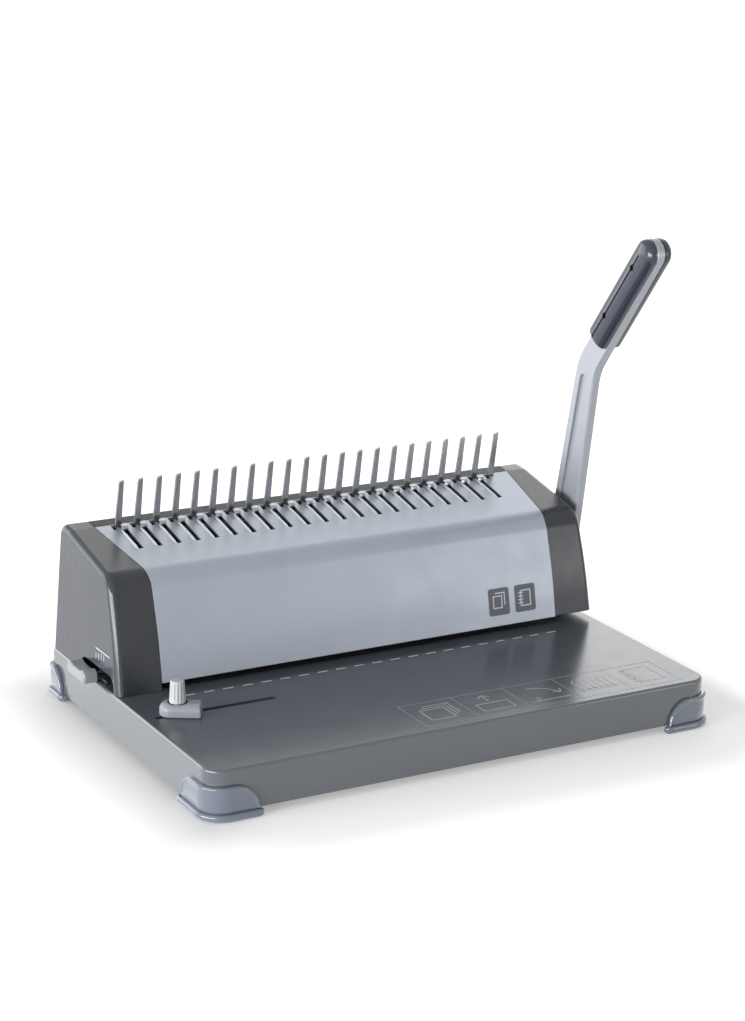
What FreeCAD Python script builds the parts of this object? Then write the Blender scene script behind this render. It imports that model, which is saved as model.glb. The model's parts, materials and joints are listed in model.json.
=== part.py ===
import FreeCAD, Part
import math
import os

import Sketcher

# Frame: millimetres, X to the right along the comb, Y to the rear, Z up from the table.
# The tray is centred on X and Y; the handle stands at its rest angle.

doc = FreeCAD.newDocument("CombBinder")
sheet = doc.addObject("Spreadsheet::Sheet", "Dims")
V = FreeCAD.Vector
nodes = []

# Driving sizes

SIZES = [
    ("comb_pitch", 14.2875, "hole spacing of the plastic combs"),
    ("tray_width", 378, "tray across"),
    ("tray_depth", 262, "tray front to rear"),
    ("tray_rear", 133.5, "rear side of the tray"),
    ("tray_top", 34, "height of the work surface"),
    ("tray_bottom", 5.4, "height of the lower rim"),
    ("tray_corner", 14, "front corner radius in plan"),
    ("tray_rear_corner", 4, "rear corner radius in plan"),
    ("tray_fold", 2.2, "fold radius of the top edge"),
    ("tray_wall", 1.8, "sheet thickness"),
    ("foot_flange_out", 4.6, "foot flange past the tray wall"),
    ("foot_wall_out", 2.6, "foot upright past the tray wall"),
    ("foot_leg_x", 37, "foot length along X"),
    ("foot_leg_y", 43, "front foot length along Y"),
    ("foot_rear_leg", 31, "rear foot length along Y"),
    ("foot_top", 23, "top of the foot"),
    ("foot_flange_top", 5.2, "top of the foot flange"),
    ("fit_gap", 0.2, "gap between fixed neighbours"),
    ("front_low_y", 15.8, "housing front at the tray"),
    ("front_knee_y", 22.5, "housing front at half height, Y"),
    ("front_knee_z", 70, "housing front at half height, Z"),
    ("front_bow", 300, "radius of the bowed housing front"),
    ("crease_y", 35.2, "housing bend, Y"),
    ("crease_z", 111.1, "housing bend, Z"),
    ("rear_y", 132.6, "housing rear wall at the tray"),
    ("rear_top_y", 123.9, "housing rear wall at the deck"),
    ("deck_rear_z", 127.5, "rear deck at the rear wall"),
    ("crease_round", 18, "bend radius of the housing front"),
    ("rear_round", 8, "radius of the rear top corner"),
    ("cap_inset", 0.8, "cap front behind the cover front"),
    ("cover_sheet", 2, "cover thickness"),
    ("cover_low", 39.4, "lower edge of cover and right cap"),
    ("cover_half", 155.8, "half width of the cover front"),
    ("splay_half", 166, "half width of the cover at its rear edge"),
    ("cover_rear_y", 106, "rear edge of the front cover"),
    ("seam", 0.3, "gap between covers"),
    ("cap_half", 188.6, "outer side of the end caps at the tray"),
    ("cap_lean", 2.8, "how far a cap's outer side leans in by the housing bend"),
    ("cap_round", 5, "radius of a cap's outer edges"),
    ("cap_hollow", 182.6, "outer end of the hollow in a cap"),
    ("cap_wall", 2.2, "cap thickness"),
    ("arch_front", 24, "lever arch, front end"),
    ("arch_rear", 81, "lever arch, rear end"),
    ("arch_top", 45, "lever arch, top"),
    ("slot_front", 69.6, "hook slot, front end"),
    ("slot_rear", 101.2, "hook slot, rear end"),
    ("slot_wide", 3.5, "hook slot width"),
    ("slot_shift", 3, "hook slot to the right of its tooth"),
    ("pivot_y", 70, "handle shaft, Y"),
    ("pivot_z", 76, "handle shaft, Z"),
    ("shaft_radius", 6, "handle shaft radius"),
    ("slope_angle", 11.679, "slope of the top panel in degrees"),
    ("panel_height", 41.4, "top panel above the shaft, square to the panel"),
    ("tooth_height", 35, "tooth above the panel"),
    ("tooth_low_half", 2.6, "half width of a tooth at its foot"),
    ("tooth_tip_half", 2, "half width of a tooth at its tip"),
    ("tooth_thick", 1.8, "comb rack sheet"),
    ("tooth_front", 41.9, "front face of the teeth along the slope"),
    ("frame_half", 156, "inner face of the side frames"),
    ("frame_thick", 3, "side frame sheet"),
    ("bush_radius", 9, "bush outside radius"),
    ("die_half", 152.7, "half length of die and guide plates"),
    ("die_rear", 79.7, "rear edge of die and guide plates"),
    ("punch_y", 42, "line of the punched holes"),
    ("punch_wide", 7.8, "punch along the comb"),
    ("punch_deep", 2.8, "punch across the comb"),
    ("guide_top", 46.4, "top of the punch guide plate"),
    ("bar_low", 56, "punch bar lower face"),
    ("bar_top", 62.5, "punch bar upper face"),
    ("bar_front", 34, "punch bar front edge"),
    ("bar_rear", 62, "punch bar rear edge"),
    ("post_radius", 4, "guide post radius"),
    ("post_x", 100, "guide posts to either side"),
    ("post_y", 54, "guide posts, Y"),
    ("cam_low", 12, "least cam radius"),
    ("cam_rise", 6.5, "punch travel per radian of handle swing"),
    ("handle_swing", 75, "handle travel in degrees"),
    ("cam_x", 133, "inner face of cams and yokes"),
    ("cam_thick", 5, "cam and yoke thickness"),
    ("cam_play", 0.15, "play between cam and yoke"),
    ("sector_x", 118, "inner face of sectors and racks"),
    ("sector_thick", 6, "sector and rack thickness"),
    ("gear_module", 1.25, "tooth module of sectors and racks"),
    ("gear_teeth", 30, "teeth on a full circle of the sector"),
    ("hook_low", 34.5, "hook plate lower face above the shaft"),
    ("hook_sheet", 2, "hook plate thickness"),
    ("hook_half", 152.4, "half length of the hook plate"),
    ("hook_front", 10, "hook plate front edge along the slope"),
    ("hook_rear", 38, "hook plate rear edge along the slope"),
    ("hook_back", 36.6, "rear face of a hook along the slope"),
    ("arm_left", 190.6, "left face of the handle arm"),
    ("arm_thick", 7, "arm thickness"),
    ("arm_lean", 10.8, "arm lean at rest in degrees"),
    ("arm_hub", 17, "arm's round foot below the pivot"),
    ("arm_low_rear", 14.6, "arm rear edge at the pivot"),
    ("arm_low_front", 16.3, "arm front edge at the pivot"),
    ("bend_rear_w", 10.1, "rear corner of the arm bend, across"),
    ("bend_rear_v", 145.5, "rear corner of the arm bend, along"),
    ("bend_front_w", 12.2, "front corner of the arm bend, across"),
    ("bend_front_v", 142.7, "front corner of the arm bend, along"),
    ("tip_rear_w", 50.2, "rear corner of the grip end, across"),
    ("tip_rear_v", 264.2, "rear corner of the grip end, along"),
    ("tip_front_w", 69.2, "front corner of the grip end, across"),
    ("tip_front_v", 255.2, "front corner of the grip end, along"),
    ("tip_round", 10.2, "radius of the grip end"),
    ("grip_low_rear_w", 3.4, "rear corner of the grip's lower end, across"),
    ("grip_low_rear_v", 174.6, "rear corner of the grip's lower end, along"),
    ("grip_low_front_w", 22.6, "front corner of the grip's lower end, across"),
    ("grip_low_front_v", 166, "front corner of the grip's lower end, along"),
    ("grip_thick", 6.6, "thickness of one grip half"),
    ("grip_round", 2.8, "edge slope of the grip halves"),
    ("drawer_left", -150, "chip drawer, left end"),
    ("drawer_front_y", 17, "chip drawer, front side"),
    ("drawer_rear_y", 67, "chip drawer, rear side"),
    ("drawer_low", 7, "chip drawer floor"),
    ("drawer_top", 25.5, "chip drawer rim"),
    ("guide_y", -27.7, "line of the guide slot"),
    ("guide_slot_left", -181, "guide slot, left end"),
    ("guide_slot_right", -93, "guide slot, right end"),
    ("guide_slot_wide", 4.6, "guide slot width"),
    ("guide_x", -165, "clamp knob at rest, X"),
    ("guide_right", -153, "flat side of the guide block"),
    ("guide_left", -177.5, "round side of the guide block"),
    ("guide_nose", 3.4, "half width of the guide block's round side"),
    ("guide_front", -42, "guide block front"),
    ("guide_rear", -13.5, "guide block rear"),
    ("guide_high", 43, "guide block top"),
    ("knob_low_radius", 5.6, "clamp knob radius at its foot"),
    ("knob_top_radius", 4.7, "clamp knob radius at its top"),
    ("knob_top", 58, "clamp knob top"),
    ("crank_x", -146, "depth crank pivot, X"),
    ("crank_y", 52.5, "depth crank pivot, Y"),
    ("crank_long", 36, "depth crank long arm"),
    ("crank_short", 8.6, "depth crank short arm"),
    ("crank_turn", 17.37, "depth crank turned back at rest, degrees"),
    ("lever_out", -200, "outer side of the depth lever knob"),
    ("lever_in", -189.6, "inner side of the depth lever knob"),
    ("lever_front", 48.5, "depth lever knob front"),
    ("lever_rear", 78.5, "depth lever knob rear"),
    ("lever_high", 45, "depth lever knob top"),
]


class Size:
    """A number together with the sheet formula it comes from."""

    def __init__(self, value, formula):
        self.value = float(value)
        self.formula = formula

    def mix(self, other, value, sign, swap=False):
        first, second = (other, self) if swap else (self, other)
        return Size(value, "(%s %s %s)" % (first.formula, sign, second.formula))

    def __add__(self, other):
        other = as_size(other)
        return self.mix(other, self.value + other.value, "+")

    def __sub__(self, other):
        other = as_size(other)
        return self.mix(other, self.value - other.value, "-")

    def __mul__(self, other):
        other = as_size(other)
        return self.mix(other, self.value * other.value, "*")

    def __truediv__(self, other):
        other = as_size(other)
        return self.mix(other, self.value / other.value, "/")

    def __radd__(self, other):
        return as_size(other) + self

    def __rsub__(self, other):
        return as_size(other) - self

    def __rmul__(self, other):
        return as_size(other) * self

    def __rtruediv__(self, other):
        return as_size(other) / self

    def __neg__(self):
        return as_size(0) - self


def as_size(item):
    if isinstance(item, Size):
        return item
    return Size(item, "(%.5f)" % item)


class Sizes:
    """Every sheet row as an attribute."""


D = Sizes()
for row, (alias, number, note) in enumerate(SIZES, 1):
    sheet.set("A%d" % row, alias)
    sheet.set("B%d" % row, str(number))
    sheet.setAlias("B%d" % row, alias)
    sheet.set("C%d" % row, note)
    setattr(D, alias, Size(number, "Dims." + alias))
doc.recompute()

# Sketch and feature helpers


def new_body(label):
    body = doc.addObject("PartDesign::Body", label)
    body.Label = label
    nodes.append(body)
    return body


def origin_part(body, role):
    return [item for item in body.Origin.OriginFeatures if item.Role == role][0]


def bind(thing, prop, size):
    thing.setExpression(prop, as_size(size).formula)


def sketch_on(body, role, offset=0):
    sketch = body.newObject("Sketcher::SketchObject", body.Label + "_sketch")
    sketch.AttachmentSupport = [(origin_part(body, role), "")]
    sketch.MapMode = "FlatFace"
    offset = as_size(offset)
    if abs(offset.value) > 1e-9:
        sketch.AttachmentOffset = FreeCAD.Placement(V(0, 0, offset.value), FreeCAD.Rotation())
        bind(sketch, "AttachmentOffset.Base.z", offset)
    return sketch


def pin_point(sketch, geo, pos, u, v):
    """Tie one point of a sketch to its two distances from the origin."""
    for kind, axis, size in (("DistanceX", -2, u), ("DistanceY", -1, v)):
        if abs(size.value) < 1e-7:
            sketch.addConstraint(Sketcher.Constraint("PointOnObject", geo, pos, axis))
        else:
            row = sketch.addConstraint(Sketcher.Constraint(kind, -1, 1, geo, pos, size.value))
            bind(sketch, "Constraints[%d]" % row, size)


def pin_radius(sketch, geo, radius):
    row = sketch.addConstraint(Sketcher.Constraint("Radius", geo, radius.value))
    bind(sketch, "Constraints[%d]" % row, radius)


def loop(sketch, corners):
    """A closed outline of straight edges; a corner's third value is its radius."""
    count = len(corners)
    spots = [(as_size(corner[0]), as_size(corner[1])) for corner in corners]
    radii = [as_size(corner[2]) if len(corner) > 2 else None for corner in corners]
    flat = [V(u.value, v.value, 0) for u, v in spots]
    before = list(flat)
    after = list(flat)
    arcs = {}
    for i in range(count):
        if radii[i] is None:
            continue
        to_last = (flat[i - 1] - flat[i]).normalize()
        to_next = (flat[(i + 1) % count] - flat[i]).normalize()
        half = to_last.getAngle(to_next) / 2
        reach = radii[i].value / math.tan(half)
        before[i] = flat[i] + to_last * reach
        after[i] = flat[i] + to_next * reach
        centre = flat[i] + (to_last + to_next).normalize() * (radii[i].value / math.sin(half))
        left_turn = to_next.cross(to_last).z > 0
        ends = (before[i], after[i]) if left_turn else (after[i], before[i])
        angles = [math.atan2(end.y - centre.y, end.x - centre.x) for end in ends]
        circle = Part.Circle(centre, V(0, 0, 1), radii[i].value)
        arcs[i] = (Part.ArcOfCircle(circle, angles[0], angles[1]), left_turn)
    lines = []
    for i in range(count):
        edge = Part.LineSegment(after[i], before[(i + 1) % count])
        lines.append(sketch.addGeometry(edge, False))
    for i in range(count):
        last, here = lines[i - 1], lines[i]
        if radii[i] is None:
            sketch.addConstraint(Sketcher.Constraint("Coincident", last, 2, here, 1))
            pin_point(sketch, here, 1, spots[i][0], spots[i][1])
            continue
        curve, left_turn = arcs[i]
        arc = sketch.addGeometry(curve, False)
        first, second = (1, 2) if left_turn else (2, 1)
        corner = sketch.addGeometry(Part.Point(flat[i]), True)
        pin_point(sketch, corner, 1, spots[i][0], spots[i][1])
        sketch.addConstraint(Sketcher.Constraint("PointOnObject", corner, 1, last))
        sketch.addConstraint(Sketcher.Constraint("PointOnObject", corner, 1, here))
        sketch.addConstraint(Sketcher.Constraint("Tangent", last, 2, arc, first))
        sketch.addConstraint(Sketcher.Constraint("Tangent", arc, second, here, 1))
        pin_radius(sketch, arc, radii[i])
    return sketch


def disc(sketch, u, v, radius):
    u, v, radius = as_size(u), as_size(v), as_size(radius)
    geo = sketch.addGeometry(Part.Circle(V(u.value, v.value, 0), V(0, 0, 1), radius.value), False)
    pin_point(sketch, geo, 3, u, v)
    pin_radius(sketch, geo, radius)
    return sketch


def box(u_low, v_low, u_high, v_high, radius=None):
    corners = [(u_low, v_low), (u_high, v_low), (u_high, v_high), (u_low, v_high)]
    return corners if radius is None else [corner + (radius,) for corner in corners]


def settle(feature):
    doc.recompute()
    if "Invalid" in feature.State or "Error" in feature.State or feature.Shape.isNull():
        raise RuntimeError("%s failed: %s" % (feature.Name, feature.State))
    return feature


def pad(body, sketch, length, back=False, middle=False):
    held = 0 if body.Shape.isNull() else body.Shape.Volume
    solid = body.newObject("PartDesign::Pad", body.Label + "_pad")
    solid.Profile = sketch
    solid.Midplane = middle
    solid.Reversed = back
    bind(solid, "Length", length)
    settle(solid)
    if not solid.Shape.Volume > held + 1e-3:
        raise RuntimeError("%s adds nothing" % solid.Name)
    return solid


def cut(body, sketch, length=None, back=False, middle=True):
    """Cut a pocket; with no length it goes right through both ways."""
    held = body.Shape.Volume
    hollow = body.newObject("PartDesign::Pocket", body.Label + "_cut")
    hollow.Profile = sketch
    hollow.Midplane = middle
    hollow.Reversed = back
    if length is None:
        hollow.Type = "ThroughAll"
    else:
        bind(hollow, "Length", length)
    settle(hollow)
    if not hollow.Shape.Volume < held - 1e-3:
        raise RuntimeError("%s removes nothing" % hollow.Name)
    return hollow


def loft(body, first, second, take_away=False):
    kind = "PartDesign::SubtractiveLoft" if take_away else "PartDesign::AdditiveLoft"
    shape = body.newObject(kind, body.Label + "_loft")
    shape.Profile = first
    shape.Sections = [second]
    shape.Ruled = True
    return settle(shape)


def row_of(body, feature, count, step, axis="X_Axis"):
    pattern = body.newObject("PartDesign::LinearPattern", body.Label + "_row")
    pattern.Originals = [feature]
    pattern.Direction = (origin_part(body, axis), [""])
    pattern.Occurrences = count
    bind(pattern, "Length", step * (count - 1))
    body.Tip = pattern
    return settle(pattern)


def ring_of(body, feature, count, angle, axis, reverse=False):
    pattern = body.newObject("PartDesign::PolarPattern", body.Label + "_ring")
    pattern.Originals = [feature]
    pattern.Axis = (origin_part(body, axis), [""])
    pattern.Occurrences = count
    pattern.Angle = angle
    pattern.Reversed = reverse
    body.Tip = pattern
    return settle(pattern)


def edges_at(feature, test, unless=None):
    """Names of the edges whose every sampled point passes the test, less those that all pass the other."""
    names = []
    for index, edge in enumerate(feature.Shape.Edges, 1):
        points = edge.discretize(5)
        if unless and all(unless(point) for point in points):
            continue
        if all(test(point) for point in points):
            names.append("Edge%d" % index)
    return names


def soften(body, feature, test, radius, chamfer=False, unless=None):
    names = edges_at(feature, test, unless)
    if not names:
        raise RuntimeError("no edge to soften on " + body.Label)
    kind = "PartDesign::Chamfer" if chamfer else "PartDesign::Fillet"
    edge = body.newObject(kind, body.Label + "_edge")
    edge.Base = (feature, names)
    bind(edge, "Size" if chamfer else "Radius", radius)
    return settle(edge)


def near(value, size, room=0.02):
    return abs(value - as_size(size).value) < room


def stand(body, x, y, z, axis=None, angle=None):
    """Put a body down at a sheet position, turned about one axis."""
    x, y, z = as_size(x), as_size(y), as_size(z)
    turn = FreeCAD.Rotation() if axis is None else FreeCAD.Rotation(axis, angle.value)
    body.Placement = FreeCAD.Placement(V(x.value, y.value, z.value), turn)
    for name, size in (("x", x), ("y", y), ("z", z)):
        bind(body, "Placement.Base." + name, size)


def on_slope(body):
    stand(body, 0, D.pivot_y, D.pivot_z, V(1, 0, 0), D.slope_angle)


def on_arm(body, x):
    stand(body, x, D.pivot_y, D.pivot_z, V(1, 0, 0), D.arm_lean)


# Shared outlines

front_lean = (D.front_knee_y - D.front_low_y) / (D.front_knee_z - D.tray_top)
upper_lean = (D.crease_y - D.front_knee_y) / (D.crease_z - D.front_knee_z)
rear_lean = (D.rear_y - D.rear_top_y) / (D.deck_rear_z - D.tray_top)
top_rise = Size(math.tan(math.radians(D.slope_angle.value)), "tan(Dims.slope_angle * 1 deg)")
cap_slant = D.cap_lean / (D.crease_z - D.tray_top)
first_tooth = -10.5 * D.comb_pitch
first_hole = -10 * D.comb_pitch
pitch_radius = D.gear_module * D.gear_teeth / 2


def panel_z(y):
    """Height of the top panel's outer face at a given Y."""
    return D.crease_z + top_rise * (y - D.crease_y)


def deck_z(y):
    """Height of the nearly level deck behind the comb at a given Y."""
    foot = panel_z(D.cover_rear_y)
    return foot + (D.deck_rear_z - foot) * (y - D.cover_rear_y) / (D.rear_top_y - D.cover_rear_y)


def housing(front, top, rear, low, bend=None, back_bend=None):
    """The housing's side outline, its faces set in by the given amounts."""
    crease_up = (top_rise * front - top) / (1 - top_rise * upper_lean)
    crease_in = front + upper_lean * crease_up
    rear_top = D.rear_top_y - rear + rear_lean * top
    bend = D.crease_round if bend is None else bend
    back_bend = D.rear_round if back_bend is None else back_bend
    return [
        (D.front_low_y + front + front_lean * (low - D.tray_top), low),
        (D.front_knee_y + front, D.front_knee_z, D.front_bow),
        (D.crease_y + crease_in, D.crease_z + crease_up, bend),
        (D.cover_rear_y, panel_z(D.cover_rear_y) - top, 30),
        (rear_top, deck_z(rear_top) - top, back_bend),
        (D.rear_y - rear - rear_lean * (low - D.tray_top), low),
    ]


# Base tray


def tray_plan(inset):
    """The tray's outline in plan, its four sides set in by the same amount."""
    wide = D.tray_width / 2 - inset
    front, rear = D.tray_rear - D.tray_depth + inset, D.tray_rear - inset
    near_round, far_round = D.tray_corner - inset, D.tray_rear_corner - inset
    return [(-wide, front, near_round), (wide, front, near_round), (wide, rear, far_round),
            (-wide, rear, far_round)]


def make_base_tray():
    body = new_body("base_tray")
    half_wide = D.tray_width / 2
    plan = sketch_on(body, "XY_Plane", D.tray_bottom)
    loop(plan, tray_plan(0))
    block = pad(body, plan, D.tray_top - D.tray_bottom)
    soften(body, block, lambda p: near(p.z, D.tray_top), D.tray_fold)
    inside = sketch_on(body, "XY_Plane", D.tray_bottom)
    loop(inside, tray_plan(D.tray_wall))
    cut(body, inside, D.tray_top - D.tray_bottom - D.tray_wall, back=True, middle=False)
    openings = sketch_on(body, "XY_Plane", D.tray_top)
    die_x, die_y = D.die_half + D.seam, D.die_rear + D.seam
    loop(openings, box(-die_x, 20, die_x, die_y))
    slot = D.guide_slot_wide / 2
    loop(openings, box(D.guide_slot_left, D.guide_y - slot, D.guide_slot_right, D.guide_y + slot,
                       slot - 0.05))
    cut(body, openings, 12)
    mouth = sketch_on(body, "YZ_Plane", half_wide)
    loop(mouth, box(D.drawer_front_y - 2, D.drawer_low, D.drawer_rear_y + 2, D.drawer_top + 1.5))
    cut(body, mouth, 12)


def make_bottom_plate():
    body = new_body("bottom_plate")
    plan = sketch_on(body, "XY_Plane", D.tray_bottom)
    loop(plan, tray_plan(D.tray_wall + D.fit_gap))
    pad(body, plan, 1.2)


def make_foot(label, side, end):
    body = new_body(label)
    corner_x = side * D.tray_width / 2
    corner_y = D.tray_rear if end > 0 else D.tray_rear - D.tray_depth
    leg_y = D.foot_rear_leg if end > 0 else D.foot_leg_y
    corner = D.tray_rear_corner if end > 0 else D.tray_corner

    def wrap(out, less, radius):
        out_x, out_y = corner_x + side * out, corner_y + end * out
        in_x = corner_x - side * (D.foot_leg_x - less)
        in_y = corner_y - end * (leg_y - less)
        return [(out_x, out_y, radius), (in_x, out_y), (in_x, in_y), (out_x, in_y)]

    flange = sketch_on(body, "XY_Plane")
    loop(flange, wrap(D.foot_flange_out, 0, corner + D.foot_flange_out))
    low = pad(body, flange, D.foot_flange_top)
    outer_x = (corner_x + side * D.foot_flange_out).value
    outer_y = (corner_y + end * D.foot_flange_out).value
    inner_x = (corner_x - side * D.foot_leg_x).value
    inner_y = (corner_y - end * leg_y).value

    def flange_rim(p):
        inside = near(p.x, inner_x) or near(p.y, inner_y)
        return (near(p.z, 0) or near(p.z, D.foot_flange_top)) and not inside

    soften(body, low, flange_rim, 1.3, chamfer=True)
    upright = sketch_on(body, "XY_Plane", 1.7)
    loop(upright, wrap(D.foot_wall_out, 3, corner + D.foot_wall_out))
    high = pad(body, upright, D.foot_top - 1.7)
    soften(body, high, lambda p: near(p.z, D.foot_top) and not (
        near(p.x, (corner_x - side * (D.foot_leg_x - 3)).value)
        or near(p.y, (corner_y - end * (leg_y - 3)).value)), 1, chamfer=True)
    hollow = sketch_on(body, "XY_Plane", D.foot_flange_top)
    loop(hollow, wrap(D.fit_gap, -2, corner + D.fit_gap))
    cut(body, hollow, D.foot_top, back=True, middle=False)
    bow = D.foot_top - D.foot_flange_top - 0.6
    for role, edge, leg, way in (("XZ_Plane", corner_x, D.foot_leg_x, side),
                                   ("YZ_Plane", corner_y, leg_y, end)):
        stop = edge - way * (leg + 3)
        start = edge - way * (leg - 3.2)
        inner = start + way * (bow + 0.5)
        shoulder = sketch_on(body, role)
        loop(shoulder, [(stop, D.foot_flange_top + 0.2), (start, D.foot_flange_top + 0.2),
                        (start, D.foot_top, bow - 0.2), (inner, D.foot_top),
                        (inner, D.foot_top + 2), (stop, D.foot_top + 2)])
        cut(body, shoulder)


# Housing


def make_end_cap(label, side, low):
    body = new_body(label)
    start = D.cover_half + D.seam
    block = sketch_on(body, "YZ_Plane", side * start)
    loop(block, housing(D.cap_inset, 0, 0, low))
    pad(body, block, D.cap_half - start, back=side < 0)
    trim = sketch_on(body, "XZ_Plane")
    base, top, far = D.tray_top - 4, 140, side * (D.cap_half + 3)
    loop(trim, [(side * (D.cap_half + 4 * cap_slant), base), (far, base), (far, top),
                (side * (D.cap_half - cap_slant * (top - D.tray_top)), top)])
    leaning = cut(body, trim)

    def on_side(p):
        return near(abs(p.x), (D.cap_half - cap_slant * (p.z - D.tray_top)).value)

    soften(body, leaning, on_side, D.cap_round, unless=lambda p: near(p.z, low))
    wall = D.cap_wall
    hollow = sketch_on(body, "YZ_Plane", side * start)
    loop(hollow, housing(wall + D.cap_inset, wall, wall, low - 2))
    cut(body, hollow, D.cap_hollow - start, back=side > 0, middle=False)
    skirt = sketch_on(body, "YZ_Plane", side * start)
    inset = D.front_low_y + D.cap_inset + 3
    loop(skirt, [(inset + front_lean * (low - 2 - D.tray_top), low - 2),
                 (inset + front_lean * (58 - D.tray_top), 58), (125, 58), (125, low - 2)])
    cut(body, skirt, D.cap_hollow + 2.9 - start, back=side > 0, middle=False)
    plan = sketch_on(body, "XY_Plane")
    inner, outer = side * (D.cover_half - 3), side * (D.splay_half + D.seam)
    loop(plan, [(inner, D.crease_y), (side * start, D.crease_y), (outer, D.cover_rear_y),
                (outer, 140), (inner, 140)])
    cut(body, plan)
    bosses = sketch_on(body, "YZ_Plane", side * (D.frame_half + D.frame_thick))
    for y, z in ((50, 90), (100, 66)):
        disc(bosses, y, z, 5)
    pad(body, bosses, D.cap_hollow + 0.3 - D.frame_half - D.frame_thick, back=side < 0)
    if side < 0:
        arch = sketch_on(body, "YZ_Plane", -D.cap_half)
        loop(arch, [(D.arch_front, D.tray_top - 1), (D.arch_rear, D.tray_top - 1),
                    (D.arch_rear, D.arch_top, 8), (D.arch_front, D.arch_top, 8)])
        cut(body, arch, 24)
    else:
        hole = sketch_on(body, "YZ_Plane", D.cap_half)
        disc(hole, D.pivot_y, D.pivot_z, D.shaft_radius + 1.5)
        cut(body, hole, 24)


def make_front_cover():
    body = new_body("front_cover")
    sheet_size = D.cover_sheet
    outside = housing(0, 0, 0, D.cover_low)
    inside = housing(sheet_size, sheet_size, 0, D.cover_low, bend=D.crease_round - sheet_size)
    edge_z = panel_z(D.cover_rear_y)
    side_view = sketch_on(body, "YZ_Plane")
    loop(side_view, [outside[0], outside[1], outside[2], (D.cover_rear_y, edge_z),
                     (D.cover_rear_y, edge_z - sheet_size), inside[2], inside[1], inside[0]])
    pad(body, side_view, 2 * (D.splay_half + 1), middle=True)
    plan = sketch_on(body, "XY_Plane")
    for side in (-1, 1):
        far = side * (D.splay_half + 6)
        loop(plan, [(side * D.cover_half, 5), (side * D.cover_half, D.crease_y),
                    (side * D.splay_half, D.cover_rear_y),
                    (side * D.splay_half, D.cover_rear_y + 5),
                    (far, D.cover_rear_y + 5), (far, 5)])
    cut(body, plan)
    slot = sketch_on(body, "XY_Plane", D.crease_z)
    middle = first_tooth + D.slot_shift
    half = D.slot_wide / 2
    loop(slot, box(middle - half, D.slot_front, middle + half, D.slot_rear))
    row_of(body, cut(body, slot, 60), 21, D.comb_pitch)
    notch = sketch_on(body, "XY_Plane", D.crease_z)
    left, right = first_tooth - 5, first_tooth + D.tooth_low_half + 0.3
    loop(notch, [(left, 98.6), (first_tooth - 1.9, 98.6), (first_tooth - 1.9, 101.9),
                 (right, 101.9), (right, 105.3), (left, 105.3)])
    row_of(body, cut(body, notch, 60), 22, D.comb_pitch)


def make_rear_cover():
    body = new_body("rear_cover")
    sheet_size = D.cover_sheet
    outside = housing(0, 0, 0, D.tray_top)
    inside = housing(0, sheet_size, sheet_size, D.tray_top, back_bend=D.rear_round - sheet_size)
    start = D.cover_rear_y + D.seam
    side_view = sketch_on(body, "YZ_Plane")
    loop(side_view, [(start, deck_z(start)), outside[4], outside[5], inside[5], inside[4],
                     (start, deck_z(start) - sheet_size)])
    pad(body, side_view, 2 * D.splay_half, middle=True)


def make_comb_rack():
    body = new_body("comb_rack")
    on_slope(body)
    rear_face = D.tooth_front + D.tooth_thick
    bar = sketch_on(body, "XZ_Plane", -rear_face)
    loop(bar, box(-D.frame_half, 24, D.frame_half, 38))
    pad(body, bar, D.tooth_thick)
    tip = D.panel_height + D.tooth_height
    tooth = sketch_on(body, "XZ_Plane", -rear_face)
    loop(tooth, [(first_tooth - D.tooth_low_half, 37), (first_tooth + D.tooth_low_half, 37),
                 (first_tooth + D.tooth_tip_half, tip + 0.6),
                 (first_tooth - D.tooth_tip_half, tip - 0.6)])
    row_of(body, pad(body, tooth, D.tooth_thick), 22, D.comb_pitch)


# Frames and fixed inner pieces


def make_side_frame(label, side):
    body = new_body(label)
    plate = sketch_on(body, "YZ_Plane", side * D.frame_half)
    loop(plate, [(84, D.tray_top), (84, D.cover_low + 0.1, 3), (30, D.cover_low + 0.1),
                 (30, 60), (48, 106), (101, 117.5), (111, 108), (121, D.tray_top)])
    disc(plate, D.pivot_y, D.pivot_z, D.bush_radius + 0.02)
    pad(body, plate, D.frame_thick, back=side < 0)
    flange = sketch_on(body, "XY_Plane", D.tray_top)
    outer = side * (D.frame_half + D.frame_thick)
    loop(flange, box(outer, 89, side * 173, 118))
    pad(body, flange, 2)


def make_shaft_bush(label, side):
    body = new_body(label)
    bore = D.shaft_radius + 0.05
    inner = side * D.frame_half
    sleeve = sketch_on(body, "YZ_Plane", inner)
    disc(sleeve, D.pivot_y, D.pivot_z, D.bush_radius)
    disc(sleeve, D.pivot_y, D.pivot_z, bore)
    pad(body, sleeve, D.frame_thick, back=side < 0)


def make_tie_rods():
    body = new_body("tie_rods")
    ends = sketch_on(body, "YZ_Plane")
    disc(ends, 106, 62, 4)
    disc(ends, 104, 96, 4)
    pad(body, ends, 2 * D.frame_half, middle=True)


def hole_row(body, sketch_z, wide, deep):
    hole = sketch_on(body, "XY_Plane", sketch_z)
    loop(hole, box(first_hole - wide / 2, D.punch_y - deep / 2,
                   first_hole + wide / 2, D.punch_y + deep / 2))
    row_of(body, cut(body, hole, 40), 21, D.comb_pitch)


def make_die_plate():
    body = new_body("die_plate")
    ledge = sketch_on(body, "XY_Plane", D.tray_top - 6)
    loop(ledge, box(-156, 16, 156, D.die_rear + 4))
    pad(body, ledge, 6 - D.tray_wall)
    face = sketch_on(body, "XY_Plane", D.tray_top - D.tray_wall)
    loop(face, box(-D.die_half, 20.3, D.die_half, D.die_rear))
    pad(body, face, D.tray_wall)
    hole_row(body, D.tray_top - 3, D.punch_wide + 0.3, D.punch_deep + 0.3)


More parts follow.
